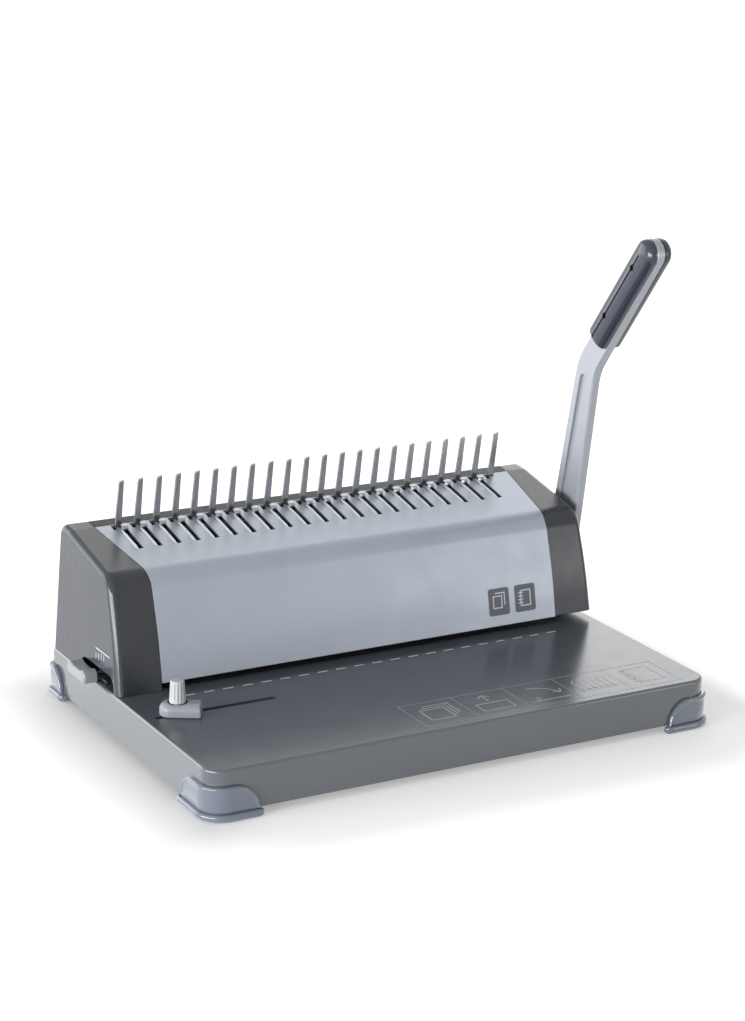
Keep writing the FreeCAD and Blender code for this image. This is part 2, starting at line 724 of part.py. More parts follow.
def make_punch_guide_plate():
    body = new_body("punch_guide_plate")
    side_view = sketch_on(body, "YZ_Plane")
    loop(side_view, [(26, D.cover_low + 2.5), (29, D.cover_low), (D.die_rear, D.cover_low),
                     (D.die_rear, D.guide_top), (26, D.guide_top)])
    pad(body, side_view, 2 * D.die_half, middle=True)
    hole_row(body, D.guide_top - 3, D.punch_wide + 0.2, D.punch_deep + 0.2)


def make_throat_spacer():
    body = new_body("throat_spacer")
    plan = sketch_on(body, "XY_Plane", D.tray_top)
    loop(plan, box(-D.die_half, D.die_rear - 7, D.die_half, D.die_rear))
    pad(body, plan, D.cover_low - D.tray_top)


def make_guide_posts():
    body = new_body("punch_guide_posts")
    ends = sketch_on(body, "XY_Plane", D.guide_top)
    for side in (-1, 1):
        disc(ends, side * D.post_x, D.post_y, D.post_radius)
    pad(body, ends, 36)


def make_hook_rail(label, side):
    body = new_body(label)
    on_slope(body)
    inner, outer = side * (D.hook_half - 2.4), side * D.frame_half
    deep = side * (D.hook_half + 0.3)
    low, high = D.hook_low - 0.3, D.hook_low + D.hook_sheet + 0.3
    end_view = sketch_on(body, "XZ_Plane", -40)
    loop(end_view, [(outer, low - 2.2), (outer, high + 1.9), (inner, high + 1.9), (inner, high),
                    (deep, high), (deep, low), (inner, low), (inner, low - 2.2)])
    pad(body, end_view, 58)


GUIDE_PINS = [(-100, 60), (100, 60), (-172, 49.5), (-172, 56.5)]
STOP_TRAVEL = 5.26
LEVER_TRAVEL = 22


def make_guide_pins():
    body = new_body("guide_pins")
    ends = sketch_on(body, "XY_Plane", D.tray_top)
    for x, y in GUIDE_PINS:
        disc(ends, x, y, 2)
    pad(body, ends, 2.2)


def make_crank_pin():
    body = new_body("crank_pin")
    end = sketch_on(body, "XY_Plane", D.tray_top)
    disc(end, D.crank_x, D.crank_y, 2)
    pad(body, end, 5)
    collar = sketch_on(body, "XY_Plane", D.tray_top)
    disc(collar, D.crank_x, D.crank_y, 3.4)
    pad(body, collar, 2.5)


# Handle and what turns with it


def make_main_shaft():
    body = new_body("main_shaft")
    end = sketch_on(body, "YZ_Plane", -163)
    disc(end, D.pivot_y, D.pivot_z, D.shaft_radius)
    rod = pad(body, end, D.arm_left + D.arm_thick - 0.3 + 163)
    soften(body, rod, lambda p: near(p.x, -163), 1, chamfer=True)


def make_shaft_ring():
    body = new_body("shaft_ring")
    ring = sketch_on(body, "YZ_Plane", -161.4)
    disc(ring, D.pivot_y, D.pivot_z, D.shaft_radius + 4)
    disc(ring, D.pivot_y, D.pivot_z, D.shaft_radius + 0.02)
    pad(body, ring, 2)


def make_hub_washer():
    body = new_body("hub_washer")
    inner = D.cap_half - 0.8
    ring = sketch_on(body, "YZ_Plane", inner)
    disc(ring, D.pivot_y, D.pivot_z, 11)
    disc(ring, D.pivot_y, D.pivot_z, D.shaft_radius + 0.03)
    pad(body, ring, D.arm_left - inner)


def make_hub_screw():
    body = new_body("hub_screw")
    face = D.arm_left + D.arm_thick
    head = sketch_on(body, "YZ_Plane", face)
    disc(head, D.pivot_y, D.pivot_z, 9)
    cap = pad(body, head, 3)
    soften(body, cap, lambda p: near(p.x, (face + 3).value), 1.4, chamfer=True)


def grip_axis(distance):
    """A point on the grip's middle line, measured up from its lower end."""
    low_w = (D.grip_low_rear_w + D.grip_low_front_w) / -2
    low_v = (D.grip_low_rear_v + D.grip_low_front_v) / 2
    high_w = (D.tip_rear_w + D.tip_front_w) / -2
    high_v = (D.tip_rear_v + D.tip_front_v) / 2
    share = distance / math.hypot((high_w - low_w).value, (high_v - low_v).value)
    return low_w + (high_w - low_w) * share, low_v + (high_v - low_v) * share


GRIP_SCREWS = (24.5, 75)


def make_handle_arm():
    body = new_body("handle_arm")
    on_arm(body, D.arm_left)
    side_view = sketch_on(body, "YZ_Plane")
    loop(side_view, [(D.arm_low_rear + 0.5, -D.arm_hub, D.arm_hub - 1.6),
                     (D.bend_rear_w, D.bend_rear_v, 45),
                     (-D.tip_rear_w, D.tip_rear_v, D.tip_round),
                     (-D.tip_front_w, D.tip_front_v, D.tip_round),
                     (-D.bend_front_w, D.bend_front_v, 38),
                     (-D.arm_low_front - 0.5, -D.arm_hub, D.arm_hub - 1.6)])
    blade = pad(body, side_view, D.arm_thick)
    soften(body, blade, lambda p: near(p.x, 0) or near(p.x, D.arm_thick), 0.9, chamfer=True)
    channel = sketch_on(body, "YZ_Plane")
    loop(channel, [(-8.6, 24, 5), (6.8, 24, 5), (3.7, 137.5, 4.2), (-5.6, 137.5, 4.2)])
    cut(body, channel, 2, back=True, middle=False)
    bore = sketch_on(body, "YZ_Plane")
    disc(bore, 0, 0, D.shaft_radius + 0.03)
    for distance in GRIP_SCREWS:
        across, along = grip_axis(distance)
        disc(bore, across, along, 2.1)
    cut(body, bore)


def make_grip_half(label, side):
    body = new_body(label)
    on_arm(body, D.arm_left if side < 0 else D.arm_left + D.arm_thick)
    outline = sketch_on(body, "YZ_Plane")
    loop(outline, [(-D.grip_low_rear_w, D.grip_low_rear_v, 5.5),
                   (-D.tip_rear_w, D.tip_rear_v, D.tip_round),
                   (-D.tip_front_w, D.tip_front_v, D.tip_round),
                   (-D.grip_low_front_w, D.grip_low_front_v, 5.5)])
    half = pad(body, outline, D.grip_thick, back=side < 0)
    outer = (side * D.grip_thick).value
    soften(body, half, lambda p: near(p.x, outer), D.grip_round, chamfer=True)
    screws = sketch_on(body, "YZ_Plane")
    for distance in GRIP_SCREWS:
        across, along = grip_axis(distance)
        disc(screws, across, along, 2.1)
    if side > 0:
        cut(body, screws, 3.5, back=True, middle=False)
        return
    cut(body, screws)
    sink = sketch_on(body, "YZ_Plane", -D.grip_thick)
    for distance in GRIP_SCREWS:
        across, along = grip_axis(distance)
        disc(sink, across, along, 3.4)
    cut(body, sink, 3.2, back=True, middle=False)
    groove = sketch_on(body, "YZ_Plane", -D.grip_thick)
    low_w, low_v = grip_axis(17)
    high_w, high_v = grip_axis(84)
    loop(groove, [(low_w - 0.75, low_v - 0.35), (low_w + 0.75, low_v + 0.35),
                  (high_w + 0.75, high_v + 0.35), (high_w - 0.75, high_v - 0.35)])
    cut(body, groove, 1, back=True, middle=False)


def make_grip_screws():
    body = new_body("grip_screws")
    on_arm(body, D.arm_left)
    for start, stop, radius in ((-5.2, -3.5, 3.2), (-3.5, 10, 2)):
        ends = sketch_on(body, "YZ_Plane", start)
        for distance in GRIP_SCREWS:
            across, along = grip_axis(distance)
            disc(ends, across, along, radius)
        pad(body, ends, stop - start)


def make_sector(label, side):
    body = new_body(label)
    on_slope(body)
    start = side * D.sector_x
    root = pitch_radius - 1.25 * D.gear_module
    hub = sketch_on(body, "YZ_Plane", start)
    disc(hub, 0, 0, 10.5)
    disc(hub, 0, 0, D.shaft_radius + 0.03)
    pad(body, hub, D.sector_thick, back=side < 0)
    wedge = sketch_on(body, "YZ_Plane", start)
    reach = root + 0.05

    def rim(angle, radius):
        turn = math.radians(angle)
        return (radius * math.sin(turn), radius * math.cos(turn))

    fan = [rim(angle, reach) for angle in range(-18, 103, 12)]
    loop(wedge, [rim(102, 9)] + list(reversed(fan)) + [rim(-18, 9), rim(42, 6.2)])
    pad(body, wedge, D.sector_thick, back=side < 0)
    tooth = sketch_on(body, "YZ_Plane", start)
    teeth = D.gear_teeth.value
    base = pitch_radius * math.cos(math.radians(20))

    def half_width(radius):
        """Half thickness of an involute tooth, less a little backlash."""
        lift = math.acos(min(1, base.value / radius.value))
        lean = math.radians(20)
        turn = math.pi / (2 * teeth) + math.tan(lean) - lean - math.tan(lift) + lift
        return radius * (math.sin(turn)) - 0.12

    rungs = [base - 0.75, base, pitch_radius, pitch_radius + D.gear_module * 0.95]
    widths = [half_width(rungs[1]), half_width(rungs[1]), half_width(rungs[2]), half_width(rungs[3])]
    right = [(wide, rung) for wide, rung in zip(widths, rungs)]
    left = [(-wide, rung) for wide, rung in zip(widths, rungs)]
    loop(tooth, right + list(reversed(left)))
    first = pad(body, tooth, D.sector_thick, back=side < 0)
    ring_of(body, first, 9, 96, "X_Axis", reverse=True)


def make_cam(label, side):
    """A cam whose two working flanks are involutes, so its yoke moves in step with the handle."""
    low, rise, swing = D.cam_low.value, D.cam_rise.value, math.radians(D.handle_swing.value)
    high = low + rise * swing
    x = side * D.cam_x.value

    def lower(turn):
        reach = low + rise * turn
        return V(x, -reach * math.sin(turn) - rise * math.cos(turn),
                 -reach * math.cos(turn) + rise * math.sin(turn))

    def upper(turn):
        reach = high - rise * turn
        return V(x, reach * math.sin(turn) - rise * math.cos(turn),
                 reach * math.cos(turn) + rise * math.sin(turn))

    def flank(rule):
        return Part.makePolygon([rule(swing * step / 8) for step in range(9)])

    front = math.hypot(high, rise)
    front_angle = math.radians(140)
    front_middle = V(x, front * math.cos(front_angle), front * math.sin(front_angle))
    flat_end = V(x, low * math.sin(swing), low * math.cos(swing))
    heel_angle = math.radians(-30)
    heel_middle = V(x, low * math.cos(heel_angle), low * math.sin(heel_angle))
    heel_end = V(x, 0, -low)
    outline = Part.Wire([
        *flank(lower).Edges,
        Part.Arc(lower(swing), front_middle, upper(0)).toShape(),
        *flank(upper).Edges,
        Part.makeLine(upper(swing), flat_end),
        Part.Arc(flat_end, heel_middle, heel_end).toShape(),
        Part.makeLine(heel_end, lower(0)),
    ])
    bore = Part.Wire(Part.makeCircle(D.shaft_radius.value + 0.03, V(x, 0, 0), V(1, 0, 0)))
    thick = side * D.cam_thick.value
    plate = Part.Face(outline).extrude(V(thick, 0, 0)).cut(Part.Face(bore).extrude(V(thick, 0, 0)))
    cam = doc.addObject("Part::Feature", label)
    cam.Label = label
    cam.Shape = plate
    cam.Placement = FreeCAD.Placement(V(0, D.pivot_y.value, D.pivot_z.value), FreeCAD.Rotation())
    bind(cam, "Placement.Base.y", D.pivot_y)
    bind(cam, "Placement.Base.z", D.pivot_z)
    nodes.append(cam)


# Punch bar and what moves with it


def make_punch_bar():
    body = new_body("punch_bar")
    plan = sketch_on(body, "XY_Plane", D.bar_low)
    loop(plan, box(-148, D.bar_front, 148, D.bar_rear, 3))
    for side in (-1, 1):
        disc(plan, side * D.post_x, D.post_y, D.post_radius + 0.06)
    pad(body, plan, D.bar_top - D.bar_low)


def make_punches():
    body = new_body("punches")
    front = sketch_on(body, "XZ_Plane", -(D.punch_y + D.punch_deep / 2))
    half = D.punch_wide / 2
    loop(front, [(first_hole - half, D.cover_low + 0.2), (first_hole + half, D.cover_low + 1.4),
                 (first_hole + half, D.bar_low), (first_hole - half, D.bar_low)])
    row_of(body, pad(body, front, D.punch_deep), 21, D.comb_pitch)


def make_yoke(label, side):
    body = new_body(label)
    high = D.cam_low + D.cam_rise * D.handle_swing * (math.pi / 180)
    plate = sketch_on(body, "YZ_Plane", side * D.cam_x)
    loop(plate, [(43, D.bar_top), (D.bar_rear + 0.3, D.bar_top), (D.bar_rear + 0.3, D.bar_low),
                 (97, D.bar_low, 4), (97, 104, 6), (43, 104, 6)])
    loop(plate, box(D.pivot_y - 22.8, D.pivot_z - D.cam_low - D.cam_play,
                    D.pivot_y + 22.8, D.pivot_z + high + D.cam_play))
    pad(body, plate, D.cam_thick, back=side < 0)


# Hook plate and what moves with it


def make_hook_plate():
    body = new_body("hook_plate")
    on_slope(body)
    plan = sketch_on(body, "XY_Plane", D.hook_low)
    loop(plan, box(-D.hook_half, D.hook_front, D.hook_half, D.hook_rear, 3))
    pad(body, plan, D.hook_sheet)
    middle = first_tooth + D.slot_shift
    hook = sketch_on(body, "YZ_Plane", middle)
    low = D.hook_low + D.hook_sheet - 0.5
    tip = D.panel_height + 3.4
    loop(hook, [(D.hook_back - 2.2, low), (D.hook_back, low), (D.hook_back, tip - 2.2),
                (D.hook_back + 3, tip - 1.6), (D.hook_back + 3, tip), (D.hook_back - 1, tip),
                (D.hook_back - 2.2, tip - 1.6)])
    row_of(body, pad(body, hook, 2.6, middle=True), 21, D.comb_pitch)
    head = sketch_on(body, "YZ_Plane", middle - 1)
    under = D.panel_height + 1.3
    loop(head, [(D.hook_back - 2, under), (D.hook_back + 2.6, under), (D.hook_back + 3, tip, 0.9),
                (D.hook_back - 1, tip, 0.9)])
    row_of(body, pad(body, head, 2.7, back=True), 21, D.comb_pitch)


def make_rack(label, side):
    body = new_body(label)
    on_slope(body)
    start = side * D.sector_x
    step = D.gear_module * math.pi
    root = pitch_radius + D.gear_module * 1.25
    bar = sketch_on(body, "YZ_Plane", start)
    loop(bar, [(-4, root), (29, root), (29, root + 5), (26, D.hook_low), (12, D.hook_low),
               (9, root + 5), (-4, root + 5)])
    pad(body, bar, D.sector_thick, back=side < 0)
    tooth = sketch_on(body, "YZ_Plane", start)
    middle = step * -0.5
    slant = math.tan(math.radians(20))
    tip = pitch_radius - D.gear_module * 0.95
    tip_half = step / 4 - D.gear_module * 0.95 * slant - 0.12
    root_half = step / 4 + D.gear_module * 1.25 * slant - 0.12
    loop(tooth, [(middle - tip_half, tip), (middle + tip_half, tip),
                 (middle + root_half, root + 0.3), (middle - root_half, root + 0.3)])
    row_of(body, pad(body, tooth, D.sector_thick, back=side < 0), 8, step, "Y_Axis")


# Chip drawer


def make_chip_drawer():
    body = new_body("chip_drawer")
    plan = sketch_on(body, "XY_Plane", D.drawer_low)
    right = D.tray_width / 2 - D.tray_wall - D.seam
    loop(plan, box(D.drawer_left, D.drawer_front_y, right, D.drawer_rear_y, 3))
    pad(body, plan, D.drawer_top - D.drawer_low)
    inside = sketch_on(body, "XY_Plane", D.drawer_top)
    loop(inside, box(D.drawer_left + 1.6, D.drawer_front_y + 1.6, right - 1.6,
                     D.drawer_rear_y - 1.6, 2))
    cut(body, inside, D.drawer_top - D.drawer_low - 1.4, middle=False)


def make_drawer_front():
    body = new_body("drawer_front")
    inner = D.tray_width / 2 - D.tray_wall - D.seam
    face = sketch_on(body, "YZ_Plane", inner)
    loop(face, box(D.drawer_front_y - 1.7, D.drawer_low + 0.3, D.drawer_rear_y + 1.7,
                   D.drawer_top + 1.2, 1.5))
    plate = pad(body, face, 2.4)
    soften(body, plate, lambda p: near(p.x, (inner + 2.4).value), 0.6, chamfer=True)
    pull = sketch_on(body, "YZ_Plane", inner + 2.4)
    middle = (D.drawer_front_y + D.drawer_rear_y) / 2
    loop(pull, box(middle - 13, 12, middle + 13, 21, 4))
    cut(body, pull, 1.6, middle=False)


# Paper side guide


def make_guide_block():
    body = new_body("guide_block")
    plan = sketch_on(body, "XY_Plane", D.tray_top + D.seam)
    loop(plan, [(D.guide_left, D.guide_y - D.guide_nose, 4.4), (D.guide_right, D.guide_front, 3.2),
                (D.guide_right, D.guide_rear, 3.2), (D.guide_left, D.guide_y + D.guide_nose, 4.4)])
    block = pad(body, plan, D.guide_high - D.tray_top - D.seam)
    soften(body, block, lambda p: near(p.z, D.guide_high), 2.2, chamfer=True)
    well = sketch_on(body, "XY_Plane", D.guide_high)
    disc(well, D.guide_x, D.guide_y, D.knob_low_radius + 1.2)
    cut(body, well, 1.4, middle=False)
    tongue = sketch_on(body, "XY_Plane", D.tray_top + D.seam)
    half = D.guide_slot_wide / 2 - D.seam
    loop(tongue, box(D.guide_x - 7, D.guide_y - half, D.guide_x + 7, D.guide_y + half))
    pad(body, tongue, 2.6, back=True)
    hole = sketch_on(body, "XY_Plane")
    disc(hole, D.guide_x, D.guide_y, 1.55)
    cut(body, hole)


def make_clamp_nut():
    body = new_body("clamp_nut")
    plan = sketch_on(body, "XY_Plane", 28)
    loop(plan, box(D.guide_x - 9, D.guide_y - 7, D.guide_x + 9, D.guide_y + 7, 2))
    disc(plan, D.guide_x, D.guide_y, 1.55)
    pad(body, plan, 3.4)


def make_guide_knob():
    body = new_body("guide_knob")
    stand(body, D.guide_x, D.guide_y, 0)
    low = D.guide_high - 1.1
    skirt = sketch_on(body, "XY_Plane", low)
    disc(skirt, 0, 0, D.knob_low_radius)
    pad(body, skirt, 2)

    def star(radius, height):
        """Twelve flutes as a ring of ridges and valleys."""
        ring = sketch_on(body, "XY_Plane", height)
        corners = []
        for step in range(24):
            turn = math.radians(15 * step)
            reach = radius if step % 2 else radius - 0.7
            corners.append((reach * math.cos(turn), reach * math.sin(turn)))
        return loop(ring, corners)

    loft(body, star(D.knob_low_radius - 0.2, low + 1.8), star(D.knob_top_radius, D.knob_top))


def make_knob_stud():
    body = new_body("knob_stud")
    end = sketch_on(body, "XY_Plane", 26.5)
    disc(end, D.guide_x, D.guide_y, 1.5)
    pad(body, end, D.guide_high - 1.1 - 26.5)


# Depth lever, crank and margin stop


def make_depth_slide():
    body = new_body("depth_slide")
    plan = sketch_on(body, "XY_Plane", D.tray_top + 0.4)
    loop(plan, [(-166, 44), (-166, 84), (-185, 84), (-185, 73), (D.lever_in, 73), (D.lever_in, 54),
                (-185, 54), (-185, 44)])
    loop(plan, box(-174.15, 46, -169.85, 82))
    pad(body, plan, 2)
    pin = sketch_on(body, "XY_Plane", D.tray_top + 2)
    disc(pin, D.crank_x - D.crank_long + 0.85, D.crank_y + LEVER_TRAVEL / 2, 1.5)
    pad(body, pin, 2.6)


def make_lever_knob():
    body = new_body("lever_knob")
    side_view = sketch_on(body, "YZ_Plane", D.lever_out)
    low = D.tray_top + 0.5
    middle = (D.lever_front + D.lever_rear) / 2
    loop(side_view, [(D.lever_front, low, 3), (D.lever_rear, low, 3), (D.lever_rear, D.lever_high, 4),
                     (middle + 5, D.lever_high - 3, 12), (middle - 5, D.lever_high - 3, 12),
                     (D.lever_front, D.lever_high, 4)])
    block = pad(body, side_view, D.lever_in - D.lever_out)
    soften(body, block, lambda p: near(p.x, D.lever_out), 1.4, chamfer=True)


def make_depth_crank():
    body = new_body("depth_crank")
    stand(body, D.crank_x, D.crank_y, 0, V(0, 0, 1), -D.crank_turn)
    plan = sketch_on(body, "XY_Plane", D.tray_top + 2.8)
    loop(plan, box(-D.crank_long - 5, -3.6, D.crank_short + 3.4, 3.6, 3))
    disc(plan, 0, 0, 2.06)
    loop(plan, box(-D.crank_long - 2.8, -1.75, -D.crank_long + 2.8, 1.75))
    loop(plan, box(D.crank_short - 2.2, -1.75, D.crank_short + 2.1, 1.75))
    pad(body, plan, 1.9)


def make_margin_stop():
    body = new_body("margin_stop")
    plan = sketch_on(body, "XY_Plane", D.tray_top + 0.4)
    loop(plan, box(-129.5, 46, 140, 49))
    pad(body, plan, 4.5)
    lugs = sketch_on(body, "XY_Plane", D.tray_top + 0.4)
    loop(lugs, box(-142.5, 46, -129, 54))
    for x, y in GUIDE_PINS[:2]:
        loop(lugs, [(x - 6, 48.5), (x + 6, 48.5), (x + 6, y + 5), (x - 6, y + 5)])
        loop(lugs, box(x - 2.15, y - STOP_TRAVEL - 2.3, x + 2.15, y + 2.3))
    pad(body, lugs, 2)
    pin = sketch_on(body, "XY_Plane", D.tray_top + 2.3)
    disc(pin, D.crank_x + D.crank_short - 0.2, D.crank_y - STOP_TRAVEL / 2, 1.5)
    pad(body, pin, 2.2)


make_base_tray()
make_bottom_plate()
make_foot("foot_front_left", -1, -1)
make_foot("foot_front_right", 1, -1)
make_foot("foot_rear_left", -1, 1)
make_foot("foot_rear_right", 1, 1)
make_end_cap("left_end_cap", -1, D.tray_top)
make_end_cap("right_end_cap", 1, D.cover_low)
make_front_cover()
make_rear_cover()
make_comb_rack()
make_side_frame("left_side_frame", -1)
make_side_frame("right_side_frame", 1)
make_shaft_bush("left_shaft_bush", -1)
make_shaft_bush("right_shaft_bush", 1)
make_tie_rods()
make_die_plate()
make_punch_guide_plate()
make_throat_spacer()
make_guide_posts()
make_hook_rail("left_hook_rail", -1)
make_hook_rail("right_hook_rail", 1)
make_guide_pins()
make_crank_pin()
make_main_shaft()
make_shaft_ring()
make_hub_washer()
make_hub_screw()
make_handle_arm()
make_grip_half("inner_grip_half", -1)
make_grip_half("outer_grip_half", 1)
make_grip_screws()
make_sector("left_sector", -1)
make_sector("right_sector", 1)
make_cam("left_cam", -1)
make_cam("right_cam", 1)
make_punch_bar()
make_punches()
make_yoke("left_yoke", -1)
make_yoke("right_yoke", 1)
make_hook_plate()
make_rack("left_rack", -1)
make_rack("right_rack", 1)
make_chip_drawer()
make_drawer_front()
make_guide_block()
make_clamp_nut()
make_guide_knob()
make_knob_stud()
make_depth_slide()
make_lever_knob()
make_depth_crank()
make_margin_stop()

# Check and write

doc.recompute()
for thing in doc.Objects:
    if "Invalid" in thing.State or "Error" in thing.State:
        raise RuntimeError("%s is %s" % (thing.Name, thing.State))
os.makedirs("parts", exist_ok=True)
for node in nodes:
    if node.Shape.isNull() or not node.Shape.isValid():
        raise RuntimeError("bad shape: " + node.Label)
    node.Shape.exportStep("parts/%s.step" % node.Label)
print("nodes", len(nodes))
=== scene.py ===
# Comb binding machine: finishes, small parts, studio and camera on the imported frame
import json
import math

import bmesh
import bpy
import numpy as np
from mathutils import Matrix, Vector


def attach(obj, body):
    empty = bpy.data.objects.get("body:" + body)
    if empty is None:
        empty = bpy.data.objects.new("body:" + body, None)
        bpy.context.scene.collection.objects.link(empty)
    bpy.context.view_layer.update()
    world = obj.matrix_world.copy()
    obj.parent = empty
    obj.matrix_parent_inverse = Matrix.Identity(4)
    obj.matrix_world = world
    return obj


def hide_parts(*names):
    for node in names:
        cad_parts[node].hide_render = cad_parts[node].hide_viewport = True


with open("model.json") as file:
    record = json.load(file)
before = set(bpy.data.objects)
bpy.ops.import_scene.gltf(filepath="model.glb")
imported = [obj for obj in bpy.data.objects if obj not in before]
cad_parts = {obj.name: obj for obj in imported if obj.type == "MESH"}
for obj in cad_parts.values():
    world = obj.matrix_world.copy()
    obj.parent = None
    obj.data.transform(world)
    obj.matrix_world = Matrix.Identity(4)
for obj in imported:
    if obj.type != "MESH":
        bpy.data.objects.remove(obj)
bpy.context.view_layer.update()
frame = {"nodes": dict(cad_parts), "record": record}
scene = bpy.context.scene
bodies = frame["record"]["behaviour"]["bodies"]
nodeBody = {node: body for body, names in bodies.items() for node in names}
mm = 0.001


# Shader helpers


class Wire:
    # a node's output that takes part in arithmetic
    def __init__(self, shading, socket):
        self.shading = shading
        self.socket = socket

    def calc(self, operation, first, second=0.0):
        return self.shading.node("ShaderNodeMath", {"operation": operation}, {0: first, 1: second})

    def __add__(self, other):
        return self.calc("ADD", self, other)

    def __radd__(self, other):
        return self.calc("ADD", other, self)

    def __sub__(self, other):
        return self.calc("SUBTRACT", self, other)

    def __rsub__(self, other):
        return self.calc("SUBTRACT", other, self)

    def __mul__(self, other):
        return self.calc("MULTIPLY", self, other)

    def __rmul__(self, other):
        return self.calc("MULTIPLY", other, self)

    def __gt__(self, other):
        return self.calc("GREATER_THAN", self, other)

    def __lt__(self, other):
        return self.calc("LESS_THAN", self, other)

    def sine(self):
        return self.calc("SINE", self)


class Shading:
    # one node tree, of a material or of the world
    def __init__(self, tree):
        self.tree = tree

    def node(self, kind, settings=None, sockets=None, out=0):
        made = self.tree.nodes.new(kind)
        for name, value in (settings or {}).items():
            setattr(made, name, value)
        for name, value in (sockets or {}).items():
            if isinstance(value, Wire):
                self.tree.links.new(value.socket, made.inputs[name])
            else:
                made.inputs[name].default_value = value
        return Wire(self, made.outputs[out])

    def ray(self, kind):
        # one for rays of that kind, nought for the rest
        return self.node("ShaderNodeLightPath", out="Is %s Ray" % kind)


class Finish(Shading):
    # one material: a Principled shader whose fixed values are set on its own sockets
    def __init__(self, name, **fixed):
        self.material = bpy.data.materials.new(name)
        self.material.use_nodes = True
        super().__init__(self.material.node_tree)
        self.shader = self.tree.nodes["Principled BSDF"]
        for socket, value in fixed.items():
            self.shader.inputs[socket.replace("_", " ")].default_value = value

    def spot(self):
        return self.node("ShaderNodeTexCoord", out="Object")

    def axes(self):
        parts = self.node("ShaderNodeSeparateXYZ", sockets={0: self.spot()}).socket.node
        return [Wire(self, parts.outputs[k]) for k in range(3)]

    def noise(self, scale, detail, stretch=(1, 1, 1)):
        place = self.node("ShaderNodeMapping", sockets={"Vector": self.spot(), "Scale": stretch})
        return self.node("ShaderNodeTexNoise", sockets={
            "Vector": place, "Scale": scale, "Detail": detail, "Roughness": 0.55})

    def ramp(self, value, low, high, first=0.0, last=1.0):
        # goes evenly from first to last while the value goes from low to high, and stays there beyond
        return self.node("ShaderNodeMapRange", sockets={
            "Value": value, "From Min": low, "From Max": high, "To Min": first, "To Max": last})

    def between(self, noise, first=0.0, last=1.0):
        # noise lies mostly from 0.3 to 0.7, so that range is drawn out
        return self.ramp(noise, 0.3, 0.7, first, last)

    def blend(self, share, first, second):
        colours = {"Factor": share, 6: first, 7: second}
        return self.node("ShaderNodeMix", {"data_type": "RGBA"}, colours, out=2)

    def feed(self, socket, wire):
        self.tree.links.new(wire.socket, self.shader.inputs[socket])

    def bump(self, height, strength, distance):
        self.feed("Normal", self.node("ShaderNodeBump", sockets={
            "Height": height, "Strength": strength, "Distance": distance}))


def linear(tone):
    # sRGB 0..255 to a linear colour
    share = np.array(tone) / 255
    flat = np.where(share <= 0.04045, share / 12.92, ((share + 0.055) / 1.055) ** 2.4)
    return (float(flat[0]), float(flat[1]), float(flat[2]), 1.0)


# Finishes: tone, darker tone, roughness and the rest as each function names them

wallTop = 33.7  # the tray's walls end here, in mm


def coatedSheet(name, tone, darker, roughness, metallic, grain, peel, wallCoat=0.0):
    # baked paint: faint cloudiness, fine flake, a slight orange peel; where wallCoat is set, a clear coat
    # below the tray top
    made = Finish(name, Metallic=metallic, Coat_Roughness=0.12)
    if wallCoat:
        made.feed("Coat Weight", (made.axes()[2] < wallTop * mm) * wallCoat)
    cloud = made.noise(22, 3)
    flake = made.noise(grain, 2)
    share = made.between(cloud * 0.6 + flake * 0.4)
    made.feed("Base Color", made.blend(share, linear(darker), linear(tone)))
    made.feed("Roughness", made.between(made.noise(60, 3), roughness - 0.03, roughness + 0.03))
    made.bump(made.noise(420, 2), 0.08, peel)
    return made.material


def mouldedPlastic(name, tone, darker, roughness, specular, texture, depth, coat=0.0):
    # moulded plastic: spark-eroded texture and a little colour drift
    made = Finish(name, Specular_IOR_Level=specular, Coat_Weight=coat, Coat_Roughness=0.05)
    made.feed("Base Color", made.blend(made.between(made.noise(30, 4)), linear(darker), linear(tone)))
    made.feed("Roughness", made.between(made.noise(90, 3), roughness - 0.04, roughness + 0.04))
    made.bump(made.noise(texture, 3), 0.25, depth)
    return made.material


def brushedSteel(name, tone, darker, roughness, stretch):
    # drawn or ground metal: fine scratches, longest along the axis with the smallest stretch
    made = Finish(name, Metallic=1.0)
    scratch = made.noise(900, 3, stretch)
    made.feed("Base Color", made.blend(made.between(scratch), linear(darker), linear(tone)))
    made.feed("Roughness", made.between(scratch, roughness - 0.06, roughness + 0.06))
    made.bump(scratch, 0.12, 0.00005)
    return made.material


# an end cap's outer side leans in above the tray; edge and flat, measured in from it, bound its rounded edge
capSide = {"half": 188.6, "slant": 0.03632, "tray": 34.0, "edge": 5.2, "flat": 0.9}
# painted light: the outer sides' tones are paler than the front tones, as if the sides were lit
capLook = {"front": [(32, 36, 43), (37, 41, 48)], "sideLitTone": [(48, 52, 60), (53, 57, 65)], "rough": [0.25, 0.3],
           "gloss": 0.08, "linesFrom": 71.0, "linePitch": 4.2, "lineDeep": 0.1, "grainDeep": 0.02}


def ribbedCap():
    # dark housing plastic, glossier on the outer sides and their rounded edge and painted paler there as
    # light falling on the sides; the sides carry shallow upright lines on the rear half
    made = Finish("capPlastic", Specular_IOR_Level=0.5)
    x, y, z = made.axes()
    outward = x.calc("ABSOLUTE", x) + (z - capSide["tray"] * mm) * capSide["slant"]
    edge = (capSide["half"] - capSide["edge"]) * mm
    side = (capSide["half"] - capSide["flat"]) * mm
    cloud = made.between(made.noise(26, 4))
    front, sideLitTone = (made.blend(cloud, *map(linear, capLook[key])) for key in ("front", "sideLitTone"))
    # painted light: the outer sides and their rounded edge take the paler tones, as if lit from the side
    made.feed("Base Color", made.blend(made.ramp(outward, edge, side), front, sideLitTone))
    rough = made.between(made.noise(90, 3), *capLook["rough"])
    made.feed("Roughness", rough - (outward > edge) * capLook["gloss"])
    wave = (y * (2 * math.pi / (capLook["linePitch"] * mm))).sine()
    lines = wave * (outward > side) * (y > capLook["linesFrom"] * mm)
    grain = made.noise(1500, 3)
    made.bump(lines * capLook["lineDeep"] + grain * capLook["grainDeep"], 0.5, 0.0003)
    return made.material


